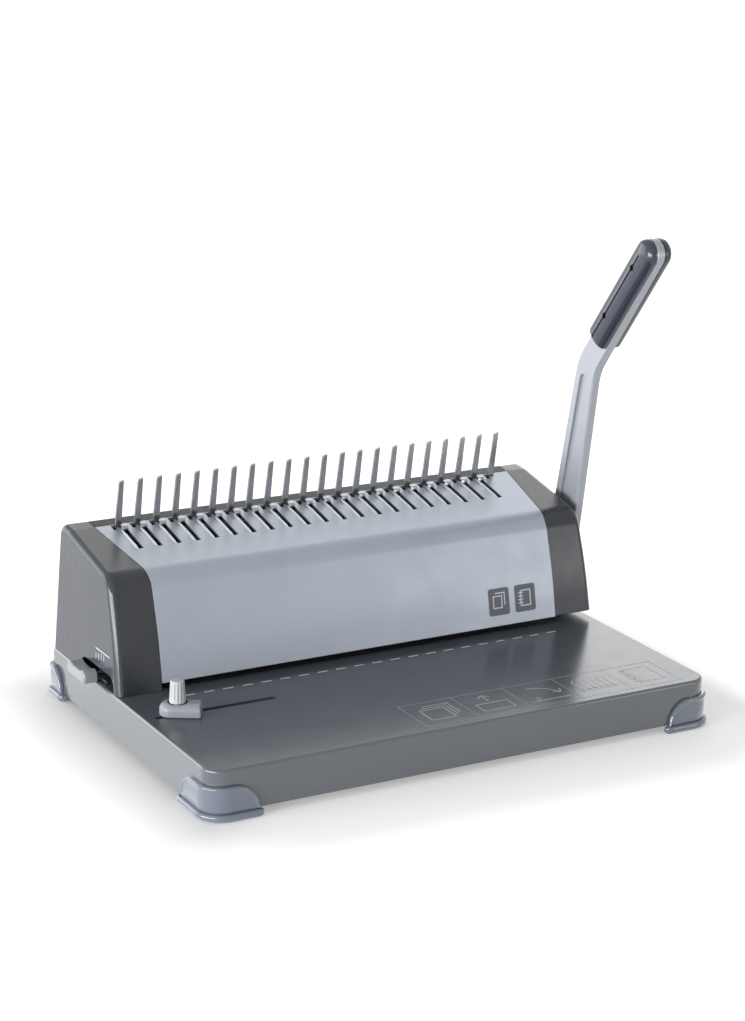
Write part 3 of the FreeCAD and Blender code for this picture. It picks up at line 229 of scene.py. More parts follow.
slope = {"angle": 11.679, "pivotY": 70.0, "pivotZ": 76.0, "panel": 41.4}
# the dark tones are painted shade for the steel seen inside the slots
hookLook = {"bright": [(132, 133, 136), (160, 161, 164)], "dark": [(20, 21, 22), (26, 27, 28)],
            "rough": [0.18, 0.3], "below": 0.4}


def shadedBelowPanel():
    # bright hook tips; the plate under the top panel is painted nearly black as painted shade inside the
    # slots
    made = Finish("hookSteel", Metallic=1.0)
    y, z = made.axes()[1:]
    lean = math.radians(slope["angle"])
    up = (z - slope["pivotZ"] * mm) * math.cos(lean) - (y - slope["pivotY"] * mm) * math.sin(lean)
    scratch = made.noise(900, 3, (0.6, 6, 6))
    share = made.between(scratch)
    bright, dark = (made.blend(share, *map(linear, hookLook[key])) for key in ("bright", "dark"))
    # painted shade: below the panel's top the steel takes the near-black tones
    made.feed("Base Color", made.blend(up > (slope["panel"] - hookLook["below"]) * mm, dark, bright))
    made.feed("Roughness", made.between(scratch, *hookLook["rough"]))
    made.bump(scratch, 0.1, 0.00004)
    return made.material


def printInk(name, tone, worn, specular=0.5):
    # screen print, slightly thin in places; shadowInk uses it for flat patches of painted shade
    made = Finish(name, Roughness=0.5, Specular_IOR_Level=specular)
    made.feed("Base Color", made.blend(made.between(made.noise(700, 4)), linear(worn), linear(tone)))
    return made.material


trayPaint = coatedSheet("trayPaint", (78, 84, 90), (73, 78, 85), 0.22, 0.0, 2600, 0.00005, 0.9)
coverPaint = coatedSheet("coverPaint", (159, 166, 175), (152, 159, 169), 0.36, 0.5, 3200, 0.00003)
# the slot lips are painted paler than the cover they are part of, a painted highlight on top of the light
# they really catch
highlightLipPaint = coatedSheet("highlightLipPaint", (196, 202, 209), (188, 194, 202), 0.34, 0.5, 3200, 0.00003)
rearPaint = coatedSheet("rearPaint", (33, 35, 37), (29, 31, 33), 0.6, 0.0, 2600, 0.00004)
armPaint = coatedSheet("armPaint", (166, 170, 177), (158, 162, 169), 0.36, 0.3, 3000, 0.00003)
capPlastic = ribbedCap()
footPlastic = mouldedPlastic("footPlastic", (95, 104, 118), (88, 97, 111), 0.2, 0.6, 900, 0.00002, 0.8)
gripPlastic = mouldedPlastic("gripPlastic", (46, 51, 64), (41, 46, 59), 0.2, 0.4, 900, 0.00002, 0.3)
leverPlastic = mouldedPlastic("leverPlastic", (140, 144, 150), (134, 138, 144), 0.34, 0.5, 1200, 0.00005)
palePlastic = mouldedPlastic("palePlastic", (176, 179, 182), (168, 171, 175), 0.34, 0.5, 1200, 0.00005)
shoePlastic = mouldedPlastic("shoePlastic", (138, 142, 147), (131, 135, 141), 0.34, 0.5, 1200, 0.00003)
drawerPlastic = mouldedPlastic("drawerPlastic", (70, 73, 77), (63, 66, 70), 0.42, 0.4, 1300, 0.00006)
combSteel = brushedSteel("combSteel", (198, 199, 201), (148, 150, 153), 0.3, (6, 6, 0.25))
hookSteel = shadedBelowPanel()
machineSteel = brushedSteel("machineSteel", (128, 130, 133), (112, 114, 118), 0.4, (0.3, 6, 6))
zincSteel = brushedSteel("zincSteel", (190, 193, 192), (168, 172, 172), 0.42, (3, 3, 3))
brassMetal = brushedSteel("brassMetal", (206, 176, 110), (190, 158, 92), 0.34, (5, 5, 5))
paleInk = printInk("paleInk", (206, 209, 212), (184, 187, 191))
stripInk = printInk("stripInk", (172, 176, 180), (156, 160, 165))
badgeInk = printInk("badgeInk", (92, 97, 104), (86, 91, 98))
# painted shade: near-black patches for the shade in the grip's screw wells and round the knob's foot
shadowInk = printInk("shadowInk", (18, 19, 21), (13, 14, 16), 0.0)
print("finishes:", len(bpy.data.materials))


# Mesh helpers: distances in metres, angles in degrees

weld = {"seam": 1e-6, "sliver": 1e-7, "cadSeam": 2e-6, "cadFlat": 0.4}
softEdge = {"segments": 2, "sharp": 32, "weight": 60}


def shadeMesh(mesh, sharp):
    # smooth, with edges over the sharp angle kept crisp
    mesh.polygons.foreach_set("use_smooth", np.ones(len(mesh.polygons), bool))
    mesh.set_sharp_from_angle(angle=math.radians(sharp))


def settleMesh(mesh, sharp, turnOut):
    # merges seams and poles and turns faces outwards
    work = bmesh.new()
    work.from_mesh(mesh)
    bmesh.ops.remove_doubles(work, verts=work.verts, dist=weld["seam"])
    bmesh.ops.dissolve_degenerate(work, edges=work.edges, dist=weld["sliver"])
    if turnOut:
        bmesh.ops.recalc_face_normals(work, faces=work.faces)
    work.to_mesh(mesh)
    work.free()
    shadeMesh(mesh, sharp)


def standPiece(name, mesh, material, body):
    piece = bpy.data.objects.new(name, mesh)
    scene.collection.objects.link(piece)
    piece.data.materials.clear()
    piece.data.materials.append(material)
    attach(piece, body)
    return piece


def surface(name, points, material, body, wrap=False, sharp=35, flat=False):
    # points[copy, row, column] in mm: quads between neighbours; wrap closes the columns into a ring
    points = np.asarray(points, float)
    if points.ndim == 3:
        points = points[None]
    copies, rows, columns = points.shape[:3]
    counts = np.arange(rows - 1), np.arange(columns if wrap else columns - 1), np.arange(copies)
    row, column, copy = np.meshgrid(*counts, indexing="ij")
    near = copy * rows * columns + row * columns
    after = (column + 1) % columns
    quads = np.stack([near + column, near + after, near + columns + after, near + columns + column], -1)
    mesh = bpy.data.meshes.new(name)
    mesh.from_pydata((points.reshape(-1, 3) * mm).tolist(), [], quads.reshape(-1, 4).tolist())
    settleMesh(mesh, sharp, not flat)
    return standPiece(name, mesh, material, body)


def skinNode(node, name, material, edge):
    # a merged copy of the CAD node with softened edges and even shading
    mesh = frame["nodes"][node].data.copy()
    mesh.name = name
    work = bmesh.new()
    work.from_mesh(mesh)
    bmesh.ops.remove_doubles(work, verts=work.verts, dist=weld["cadSeam"])
    flat = math.radians(weld["cadFlat"])
    bmesh.ops.dissolve_limit(work, angle_limit=flat, verts=work.verts, edges=work.edges)
    work.to_mesh(mesh)
    work.free()
    shadeMesh(mesh, softEdge["sharp"])
    piece = standPiece(name, mesh, material, nodeBody[node])
    if edge:
        soft = piece.modifiers.new("softEdges", "BEVEL")
        soft.width = edge * mm
        soft.segments = softEdge["segments"]
        soft.limit_method = "ANGLE"
        soft.angle_limit = math.radians(softEdge["sharp"])
        soft.use_clamp_overlap = True
        soft.harden_normals = True
    even = piece.modifiers.new("evenShading", "WEIGHTED_NORMAL")
    even.keep_sharp = True
    even.weight = softEdge["weight"]
    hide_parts(node)


# Skins of the CAD nodes that show: node, piece, finish, slot, edge radius in mm

skins = [
    ("base_tray", "trayShell", trayPaint, "tray", 0.0),
    ("left_end_cap", "leftCapShell", capPlastic, "cap", 0.4),
    ("right_end_cap", "rightCapShell", capPlastic, "cap", 0.4),
    ("front_cover", "coverShell", coverPaint, "cover", 0.6),
    ("rear_cover", "rearShell", rearPaint, "ridge", 0.35),
    ("comb_rack", "combTeeth", combSteel, "steel", 0.5),
    ("hook_plate", "hookRow", hookSteel, "steel", 0.5),
    ("handle_arm", "armBlade", armPaint, "arm", 0.5),
    ("lever_knob", "leverSaddle", leverPlastic, "pale", 0.4),
    ("drawer_front", "drawerFace", drawerPlastic, "drawer", 0.6),
    ("hub_washer", "hubWasher", zincSteel, "zinc", 0.3),
    ("hub_screw", "hubScrew", zincSteel, "zinc", 0.3),
]
for node, name, material, slot, edge in skins:
    skinNode(node, name, material, edge)
print("skins:", len(skins))


# Finishes of the CAD nodes that keep their own mesh

plainNodes = {
    # painted shade: the bottom plate takes the dark rear paint so the tray's slot looks dark
    rearPaint: ["bottom_plate"],
    zincSteel: ["left_side_frame", "right_side_frame", "tie_rods", "grip_screws", "shaft_ring",
                "left_hook_rail", "right_hook_rail", "clamp_nut", "knob_stud"],
    machineSteel: ["die_plate", "punch_guide_plate", "throat_spacer", "punch_guide_posts", "guide_pins",
                   "crank_pin", "main_shaft", "left_sector", "right_sector", "left_cam", "right_cam",
                   "punch_bar", "punches", "left_yoke", "right_yoke", "left_rack", "right_rack",
                   "depth_slide", "depth_crank", "margin_stop"],
    brassMetal: ["left_shaft_bush", "right_shaft_bush"],
    drawerPlastic: ["chip_drawer"],
}
for material, names in plainNodes.items():
    for node in names:
        mesh = frame["nodes"][node].data
        mesh.materials.clear()
        mesh.materials.append(material)
print("plain nodes:", sum(len(names) for names in plainNodes.values()))


# Grip halves

grip = {"lowW": -13.0, "lowV": 170.3, "highW": -59.7, "highV": 259.7, "lean": 10.8,
        "pivotY": 70.0, "pivotZ": 76.0, "half": 10.5, "thick": 6.5, "outerThick": 8.4,
        "innerFace": 190.55, "outerFace": 197.65, "lowRound": 2.2,
        "crown": 0.62, "domeCrown": 0.7, "domeRows": 15, "lowRows": 7, "barRows": 150, "columns": 97,
        "groove": -1.5, "grooveHalf": 0.75, "grooveDeep": 1.1, "grooveEnd": 88.0, "grooveFade": 1.2,
        "grooveSize": 0.85,
        "wells": [24.5, 75.0], "wellRadius": 2.2, "wellLift": 0.06}


def gripLine():
    # start, direction and length of the grip's middle line in the arm's own plane
    low = np.array([grip["lowW"], grip["lowV"]])
    way = np.array([grip["highW"], grip["highV"]]) - low
    length = np.linalg.norm(way)
    return low, way / length, length


def gripPoint(run, across, height, side):
    # a point over the middle line: run along it, across it, height off the arm's face
    low, axis = gripLine()[:2]
    w = low[0] + run * axis[0] - across * axis[1]
    v = low[1] + run * axis[1] + across * axis[0]
    lean = math.radians(grip["lean"])
    face = grip["innerFace"] if side < 0 else grip["outerFace"]
    y = grip["pivotY"] + w * math.cos(lean) - v * math.sin(lean)
    z = grip["pivotZ"] + w * math.sin(lean) + v * math.cos(lean)
    return np.stack([face + side * height + 0 * y, y, z], -1)


def gripHalf(name, side, node):
    # a half-round bar: across = half*cos(a), height = thick*sin(a)^crown, drawn in to a dome at the
    # top end by the root of one minus the square of the way into the last half width; the left half
    # has a groove along it
    half, lowRound, length = grip["half"], grip["lowRound"], gripLine()[2]
    dome = np.sin(np.linspace(0, math.pi / 2, grip["domeRows"]))
    bend = np.linspace(0, math.pi / 2, grip["lowRows"])
    bar = np.linspace(lowRound, length - half, grip["barRows"])[1:-1]
    run = np.concatenate([[0.0], lowRound * (1 - np.cos(bend)), bar, length - half + half * dome])[:, None]
    size = np.concatenate([[0.0], 1 - (lowRound / half) * (1 - np.sin(bend)), np.ones_like(bar),
                           np.sqrt(np.clip(1 - dome ** 2, 0, 1))])[:, None]
    turn = np.linspace(0, math.pi, grip["columns"])
    across = half * size * np.cos(turn)
    thick = grip["thick"] if side < 0 else grip["outerThick"]
    height = thick * size ** grip["domeCrown"] * np.abs(np.sin(turn)) ** grip["crown"]
    if side < 0:
        ditch = np.clip(1 - ((across - grip["groove"]) / grip["grooveHalf"]) ** 2, 0, 1)
        ditch = ditch * np.clip((grip["grooveEnd"] - run) / grip["grooveFade"], 0, 1)
        height = height - grip["grooveDeep"] * ditch * (size > grip["grooveSize"])
    shell = gripPoint(run, across, height, side)
    base = gripPoint(run, across, 0 * height, side)
    points = np.concatenate([shell, base[:, ::-1]], 1)
    piece = surface(name, points, gripPlastic, "handle", wrap=True, sharp=50)
    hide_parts(node)


def gripScrewShades():
    # painted shade in the screw wells: dark discs of radius times cosine and sine that follow the half-round
    # bar
    turn = np.linspace(0, 2 * math.pi, 24, endpoint=False)
    reach = np.array([0.0, 0.5, 1.0])[:, None] * grip["wellRadius"]
    across = grip["groove"] + reach * np.sin(turn)
    height = grip["wellLift"] + grip["thick"] * (1 - (across / grip["half"]) ** 2) ** (grip["crown"] / 2)
    made = [gripPoint(spot + reach * np.cos(turn), across, height, -1) for spot in grip["wells"]]
    surface("gripScrewShades", np.array(made), shadowInk, "handle", wrap=True, flat=True)


gripHalf("gripLeftHalf", -1, "inner_grip_half")
gripScrewShades()
gripHalf("gripRightHalf", 1, "outer_grip_half")
print("grips built")


# Feet: a rounded flange on the floor and an upright with a bead along its top

footSizes = {"halfX": 189.0, "legX": 37.0, "top": 23.0, "gap": 0.25,
             "legRows": 34, "legCrowd": 1.9, "cornerRows": 16,
             "flangeTop": 5.2, "flangeOut": 4.6, "flangeRound": 2.2, "heel": 0.05, "sole": 0.02,
             "endRound": 4.6, "tipRound": 2.4, "tipHeight": 2.3, "least": 0.0004,
             "wallOut": 2.6, "wallStart": 3.0, "crestSunk": 0.6, "baseSunk": 1.0, "wallFoot": 0.9,
             "rootIn": 0.9, "rootSunk": 0.3, "steepest": 3.5,
             "beadDrop": [40.0, 7.0, 4.2, 3.3, 2.8, 2.3, 1.7, 1.1, 0.6, 0.25, 0.05, 0.0],
             "beadSwell": [0.0, 0.0, 0.0, 0.02, 0.15, 0.42, 0.55, 0.5, 0.2, -0.3, -0.9, -1.6]}
footEnds = {-1: {"halfY": 128.5, "corner": 14.0, "legY": 43.0, "bow": 17.0},
            1: {"halfY": 133.5, "corner": 4.0, "legY": 24.0, "bow": 14.0}}
feet = [("frontLeftFoot", "foot_front_left", -1, -1), ("frontRightFoot", "foot_front_right", 1, -1),
        ("rearLeftFoot", "foot_rear_left", -1, 1), ("rearRightFoot", "foot_rear_right", 1, 1)]


def footPath(f):
    # along one tray side, round the corner, along the next: place, outward way, length run so far
    share = np.linspace(0, 1, f["legRows"]) ** f["legCrowd"]
    legY = f["halfY"] - f["legY"] + (f["legY"] - f["corner"]) * share
    legX = f["halfX"] - f["legX"] + (f["legX"] - f["corner"]) * share[::-1]
    turn = np.linspace(0, math.pi / 2, f["cornerRows"])[1:-1]
    bend = np.stack([np.cos(turn), np.sin(turn)], -1)
    middle = np.array([f["halfX"], f["halfY"]]) - f["corner"]
    place = np.concatenate([
        np.stack([np.full_like(legY, f["halfX"]), legY], -1),
        middle + f["corner"] * bend,
        np.stack([legX, np.full_like(legX, f["halfY"])], -1)])
    way = np.concatenate([np.tile([1.0, 0.0], (len(legY), 1)), bend, np.tile([0.0, 1.0], (len(legX), 1))])
    run = np.concatenate([[0], np.cumsum(np.linalg.norm(np.diff(place, axis=0), axis=1))])
    return place, way, run


def quarterRise(distance, reach, least=0.0):
    # a quarter ellipse from least up to one, over the reach
    left = 1 - np.clip(distance / reach, 0, 1)
    return np.sqrt(np.clip(1 - left ** 2, least, 1))


def closeEnds(rings):
    # adds a row at either end that is drawn together to one point
    first, last = (np.broadcast_to(rings[k].mean(0), rings[k].shape)[None] for k in (0, -1))
    return np.concatenate([first, rings, last])


def footPiece(name, node, signX, signY):
    # flange and upright are two profiles carried along the path; the upright's height falls to the
    # flange at both ends along a quarter ellipse
    f = {**footSizes, **footEnds[signY]}
    place, way, run = footPath(f)
    fromEnd = np.minimum(run, run[-1] - run)
    narrow = quarterRise(fromEnd, f["endRound"], f["least"])[:, None]
    tip = quarterRise(fromEnd, f["tipRound"], f["least"])[:, None]

    def carry(profile):
        # profile[row, point] of offset and height, drawn in at both ends of the path
        offset = f["gap"] + (profile[..., 0] - f["gap"]) * narrow
        height = f["tipHeight"] + (profile[..., 1] - f["tipHeight"]) * tip
        return np.concatenate([place[:, None] + offset[..., None] * way[:, None], height[..., None]], -1)

    curl = np.linspace(0, math.pi / 2, 8)
    bend = f["flangeRound"]
    out = f["flangeOut"] - bend
    flange = np.concatenate([
        [[f["gap"], f["heel"]]],
        np.stack([out + bend * np.sin(curl), bend - bend * np.cos(curl) + f["sole"]], -1),
        np.stack([out + bend * np.cos(curl), f["flangeTop"] - bend + bend * np.sin(curl)], -1),
        [[f["gap"], f["flangeTop"]]]])
    low = carry(flange[None])
    rise = quarterRise(fromEnd - f["wallStart"], f["bow"])
    crest = f["flangeTop"] - f["crestSunk"] + (f["top"] - f["flangeTop"] + f["crestSunk"]) * rise
    steep = np.gradient(crest) / np.maximum(np.gradient(run), 1e-6)
    reach = np.clip(np.sqrt(1 + steep ** 2), 1, f["steepest"])
    wallBase = f["flangeTop"] - f["baseSunk"]
    tall = np.maximum(crest[:, None] - np.array(f["beadDrop"]) * reach[:, None], wallBase)
    tall[:, 0] = np.minimum(f["flangeTop"] + f["wallFoot"], crest)
    bulge = np.tile(f["wallOut"] + np.array(f["beadSwell"]), (len(place), 1))
    root = np.stack([np.full_like(crest, f["wallOut"] - f["rootIn"]),
                     np.minimum(f["flangeTop"] - f["rootSunk"], crest)], -1)[:, None]
    inside = np.stack([np.full_like(crest, f["gap"]), crest], -1)[:, None]
    high = carry(np.concatenate([root, np.stack([bulge, np.maximum(tall, tall[:, :1])], -1), inside], 1))
    inner = high[:, -1:].copy()
    inner[..., 2] = wallBase
    mirror = np.array([signX, signY, 1.0])
    lowRings = closeEnds(np.concatenate([low, low[:, :1]], 1))
    highRings = closeEnds(np.concatenate([high, inner, high[:, :1]], 1))
    first = surface(name, lowRings * mirror, footPlastic, "machine", sharp=50)
    surface(name + "Upright", highRings * mirror, footPlastic, "machine", sharp=50)
    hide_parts(node)


for name, node, signX, signY in feet:
    footPiece(name, node, signX, signY)
print("feet built")


# Clamp knob on the edge guide

knob = {"x": -165.0, "y": -27.7, "low": 41.95, "lowRadius": 5.6, "topRadius": 4.7,
        "skirt": 2.1, "tall": 16.05,
        "rows": [0, 0, 0.25, 0.9, 1.7, 2.1, 2.6, 3.4, 6, 9, 12, 14.2, 15.2, 15.75, 16.0, 16.05, 16.05],
        "lowRound": 0.3, "topRound": [0.06, 0.3, 0.75, 1.2, 0], "columns": 112,
        "flutes": 14, "depth": 0.42, "fluteFade": 1.2, "fluteTop": 15.9}


def clampKnob():
    # radius falls evenly to the top; flutes take depth*(0.5+0.5*cos(flutes*angle)) from it above the skirt
    heights = np.array(knob["rows"])
    share = np.clip((heights - knob["skirt"]) / (knob["tall"] - knob["skirt"]), 0, 1)
    radius = knob["lowRadius"] + (knob["topRadius"] - knob["lowRadius"]) * share
    radius[:3] = [0, knob["lowRadius"] - knob["lowRound"], knob["lowRadius"]]
    radius[-5:] -= knob["topRound"]
    radius[-1] = 0
    fluted = np.clip((heights - knob["skirt"]) / knob["fluteFade"], 0, 1)
    fluted = fluted * np.clip(knob["fluteTop"] - heights, 0, 1)
    angle = np.linspace(0, 2 * math.pi, knob["columns"], endpoint=False)
    ripple = knob["depth"] * (0.5 + 0.5 * np.cos(knob["flutes"] * angle))
    reach = np.maximum(radius[:, None] - fluted[:, None] * ripple[None], 0)
    points = np.stack([knob["x"] + reach * np.cos(angle), knob["y"] + reach * np.sin(angle),
                       np.tile((knob["low"] + heights)[:, None], (1, len(angle)))], -1)
    piece = surface("clampKnob", points, palePlastic, "clamp", wrap=True, sharp=60)
    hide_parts("guide_knob")


clampKnob()


# Guide block, turned on its screw

shoe = {"turn": -30.0, "ahead": 15.8, "nose": 4.6, "half": 7.8, "low": 34.35, "top": 43.0, "round": 4.6,
        "tail": 0.95, "cut": 0.8, "cutMiddle": 0.2, "frontInset": 0.7, "lowInset": [0.4, 0.1, 0.0],
        "lowRise": [0.0, 0.3, 0.8], "well": 6.7, "wellUnder": 0.4, "wellLift": 0.04}


def guideShoe():
    # a block about the knob's axis, turned in plan: half round behind, straight sides, square in front;
    # its long sides turn into the top along a quarter circle
    half, ahead, nose = shoe["half"], shoe["ahead"], shoe["nose"]
    cut, cutMiddle = shoe["cut"], shoe["cutMiddle"]
    turn = np.linspace(math.pi / 2, 3 * math.pi / 2, 41)
    side = np.linspace(-nose, ahead - cut, 13)[1:]
    end = np.linspace(-half + cut, half - cut, 9)
    along = np.concatenate([half * shoe["tail"] * np.cos(turn) - nose, side, [ahead - cutMiddle],
                            0 * end + ahead, [ahead - cutMiddle], side[::-1]])
    across = np.concatenate([half * np.sin(turn), 0 * side - half, [cutMiddle - half], end,
                             [half - cutMiddle], 0 * side + half])
    curve = np.linspace(0, math.pi / 2, 12)
    inset = np.concatenate([shoe["lowInset"], shoe["round"] * (1 - np.cos(curve))])[:, None]
    height = np.concatenate([shoe["low"] + np.array(shoe["lowRise"]),
                             shoe["top"] - shoe["round"] + shoe["round"] * np.sin(curve)])
    blunt = np.where(along > 0, np.minimum(inset, shoe["frontInset"]) / ahead, inset / (nose + half))
    pole = 0 * along[None]
    run = np.concatenate([pole, along * (1 - blunt), pole])
    off = np.concatenate([pole, across * (1 - inset / half), pole])
    high = np.concatenate([[shoe["low"]], height, [shoe["top"]]])
    angle = math.radians(shoe["turn"])
    points = np.stack([knob["x"] + run * math.cos(angle) - off * math.sin(angle),
                       knob["y"] + run * math.sin(angle) + off * math.cos(angle),
                       np.tile(high[:, None], (1, len(along)))], -1)
    piece = surface("guideShoe", points, shoePlastic, "guide", wrap=True, sharp=40)
    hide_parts("guide_block")


def shoeShadeRing():
    # painted shade: a flat dark ring round the knob's foot for the shade in its well, from the well's radius
    # in to under the knob
    ring = np.linspace(0, 2 * math.pi, 48, endpoint=False)
    radius = np.array([shoe["well"], knob["lowRadius"] - shoe["wellUnder"]])[:, None]
    x = knob["x"] + radius * np.cos(ring)
    y = knob["y"] + radius * np.sin(ring)
    well = np.stack([x, y, np.full_like(x, shoe["top"] + shoe["wellLift"])], -1)
    surface("shoeShadeRing", well, shadowInk, "guide", wrap=True, flat=True)


guideShoe()
shoeShadeRing()


# Raised lips along the hook slots on the top panel

lips = {"pitch": 14.2875, "count": 21, "before": 10.5, "offset": 0.3, "half": 0.95, "height": 0.85,
        "sunk": 0.02, "front": 69.4, "rear": 98.4, "endWidth": 0.4, "endPower": 8}


def panelHeight(y):
    # the top panel rises evenly to the rear
    lean = math.radians(slope["angle"])
    return slope["pivotZ"] + slope["panel"] / math.cos(lean) + (y - slope["pivotY"]) * math.tan(lean)


def slotLips():
    # half-round bars: x = half*cos(a), height = height*sin(a); the height falls to nothing at both ends
    turn = np.linspace(0, math.pi, 9)
    run = np.linspace(0, 1, 17)[:, None]
    ends = np.sqrt(np.clip(1 - np.abs(2 * run - 1) ** lips["endPower"], 0, 1))
    y = lips["front"] + run * (lips["rear"] - lips["front"])
    x = lips["half"] * np.cos(turn) * (lips["endWidth"] + (1 - lips["endWidth"]) * ends)
    z = panelHeight(y) + lips["height"] * np.sin(turn) * ends - lips["sunk"]
    one = np.stack([x, y + 0 * x, z], -1)
    middles = (np.arange(lips["count"]) - lips["before"]) * lips["pitch"] + lips["offset"]
    shift = np.stack([middles, 0 * middles, 0 * middles], -1)
    surface("slotLips", one[None] + shift[:, None, None], highlightLipPaint, "machine", sharp=70)


slotLips()
print("knob and slot lips built")


# Printed marks: flat patches a hair above their surface

dashes = {"pitch": 14.2875, "count": 21, "before": 10, "y": 1.9, "long": 7.6, "wide": 1.5, "z": 34.06}


def patches(name, corners, material):
    # corners[copy, 4, 3] in mm, one quad each
    corners = np.asarray(corners, float)[:, [0, 1, 3, 2]].reshape(-1, 2, 2, 3)
    surface(name, corners, material, "machine", flat=True)


def dashRow():
    # one oblong at each step of the pitch
    x = (np.arange(dashes["count"]) - dashes["before"]) * dashes["pitch"]
    half, wide = dashes["long"] / 2, dashes["wide"] / 2
    corner = np.array([[-half, -wide, 0], [half, -wide, 0], [half, wide, 0], [-half, wide, 0]])
    middle = np.stack([x, np.full_like(x, dashes["y"]), np.full_like(x, dashes["z"])], -1)
    patches("sheetMarks", middle[:, None] + corner[None], paleInk)


dashRow()

strip = {"left": -30.0, "near": -121.0, "cell": 40.0, "deep": 40.0, "count": 5, "frameLine": 0.44,
         "signLine": 0.935, "z": 34.05, "step": 0.01}


def strokes(lines, width):
    # each straight run becomes a quad: half the width to either side of it
    runs = np.array([pair for line in lines for pair in zip(line[:-1], line[1:])], float)
    along = runs[:, 1] - runs[:, 0]
    along = along / np.linalg.norm(along, axis=1, keepdims=True)
    side = np.stack([-along[:, 1], along[:, 0]], -1) * width / 2
    start, stop = runs[:, 0] - along * width / 2, runs[:, 1] + along * width / 2
    return np.stack([start - side, stop - side, stop + side, start + side], 1)


def frameOf(left, low, right, high):
    # a rectangle's outline
    return [(left, low), (right, low), (right, high), (left, high), (left, low)]


def pictogramStrip():
    # five cells of simple line drawings: sheets, a sheet going in, a lever's arc, a comb, a bound book
    turn = np.radians(np.linspace(85, 20, 12))
    arc = np.stack([12 + 22 * np.cos(turn), 9 + 22 * np.sin(turn)], -1).tolist()
    drawings = [
        [frameOf(9, 9, 27, 27), [(12, 30), (30, 30), (30, 12)], [(15, 33), (33, 33), (33, 15)]],
        [frameOf(8, 8, 32, 20), [(20, 24), (20, 34)], [(16, 30), (20, 34), (24, 30)]],
        [arc, [(28, 19), (33, 16.5), (35, 22)], [(6, 8), (36, 8)], [(12, 8), (12, 14)]],
        [frameOf(6, 10, 34, 13)] + [[(x, 13), (x, 27), (x + 2.4, 30)] for x in range(8, 34, 5)],
        [frameOf(12, 8, 32, 33)] + [[(9, y), (15, y)] for y in range(11, 33, 4)],
    ]
    cell, deep, count = strip["cell"], strip["deep"], strip["count"]
    frames = [[(0, y), (count * cell, y)] for y in (0, deep)]
    frames += [[(k * cell, 0), (k * cell, deep)] for k in range(count + 1)]
    signs = [[(x + k * cell, y) for x, y in line] for k, drawing in enumerate(drawings) for line in drawing]
    flat = np.concatenate([strokes(frames, strip["frameLine"]), strokes(signs, strip["signLine"])])
    flat = flat + [strip["left"], strip["near"]]
    height = strip["z"] + strip["step"] * (np.arange(len(flat)) % 2)
    corners = np.concatenate([flat, np.tile(height[:, None, None], (1, 4, 1))], -1)
    patches("pictogramStrip", corners, stripInk)


pictogramStrip()

# each tick by its middle, low end and height
scale = {"lift": 0.06, "half": 0.4,
         "ticks": [(54.5, 49.8, 4.6), (50.0, 50.6, 4.6), (45.5, 51.4, 4.6), (41.0, 52.2, 4.6)],
         "lineRear": 55.2, "lineFront": 31.5, "lineZ": 57.4, "lineWide": 0.7}


def depthScale():
    # upright ticks and one line on the left cap beside the depth lever
    bars = [(y + scale["half"], y - scale["half"], low, low + tall) for y, low, tall in scale["ticks"]]
    bars.append((scale["lineRear"], scale["lineFront"], scale["lineZ"], scale["lineZ"] + scale["lineWide"]))
    rear, front, low, high = np.array(bars).T
    y = np.stack([rear, front, front, rear], -1)
    z = np.stack([low, low, high, high], -1)
    x = -capSide["half"] + capSide["slant"] * (z - capSide["tray"]) - scale["lift"]
    patches("depthScale", np.stack([x, y, z], -1), paleInk)


depthScale()

badge = {"left": [100.6, 122.6], "low": 13.1, "wide": 17.3, "tall": 19.8, "round": 2.0, "lift": 0.08,
         "signLine": 0.9, "signLift": 0.06, "step": 0.01}
coverFront = {"y": 15.8, "z": 34.0, "lean": 10.543, "straight": 19.245, "bow": 300.0}


def coverPoint(x, up, lift):
    # a point on the cover's front, up along the sheet and lift off it: straight at first, then an arc
    first = math.radians(coverFront["lean"])
    straight, bow = coverFront["straight"], coverFront["bow"]
    lean = first + np.clip(up - straight, 0, None) / bow
    run = np.minimum(up, straight)
    y = coverFront["y"] + run * math.sin(first) - lift * np.cos(lean)
    y = y + bow * (math.cos(first) - np.cos(lean))
    z = coverFront["z"] + run * math.cos(first) + lift * np.sin(lean)
    z = z + bow * (np.sin(lean) - math.sin(first))
    return np.stack([x + 0 * y, y, z + 0 * x], -1)


def badges():
    # bare rounded plates: rings of a rounded square from the edge in to the middle
    turn = np.linspace(0, 2 * math.pi, 48, endpoint=False)
    quarter = np.floor(turn / (math.pi / 2) + 1e-6)
    halfWide, halfTall = badge["wide"] / 2, badge["tall"] / 2
    cornerX = np.where((quarter == 0) | (quarter == 3), 1, -1) * (halfWide - badge["round"])
    cornerY = np.where(quarter < 2, 1, -1) * (halfTall - badge["round"])
    grow = np.array([1.0, 0.5, 0.0])[:, None]
    across = halfWide + grow * (cornerX + badge["round"] * np.cos(turn))
    up = badge["low"] + halfTall + grow * (cornerY + badge["round"] * np.sin(turn))
    for number, left in enumerate(badge["left"]):
        points = coverPoint(left + across, up, badge["lift"])
        surface("badge%d" % (number + 1), points, badgeInk, "machine", wrap=True, flat=True)


def badgeSigns():
    # plain line signs: a stack of sheets, and a sheet with a bound edge
    signs = [[frameOf(4, 5.5, 11, 14), [(6, 16.2), (13.4, 16.2), (13.4, 7.6)]],
             [frameOf(5, 4.5, 13, 15.5)] + [[(3.4, y), (6.6, y)] for y in (6.5, 9.0, 11.5, 14.0)]]
    flat = np.concatenate([strokes(lines, badge["signLine"]) + [left, badge["low"]]
                           for lines, left in zip(signs, badge["left"])])
    lift = badge["lift"] + badge["signLift"] + badge["step"] * (np.arange(len(flat)) % 2)
    patches("badgeSigns", coverPoint(flat[..., 0], flat[..., 1], lift[:, None]), paleInk)


badges()
badgeSigns()
print("printed marks built")


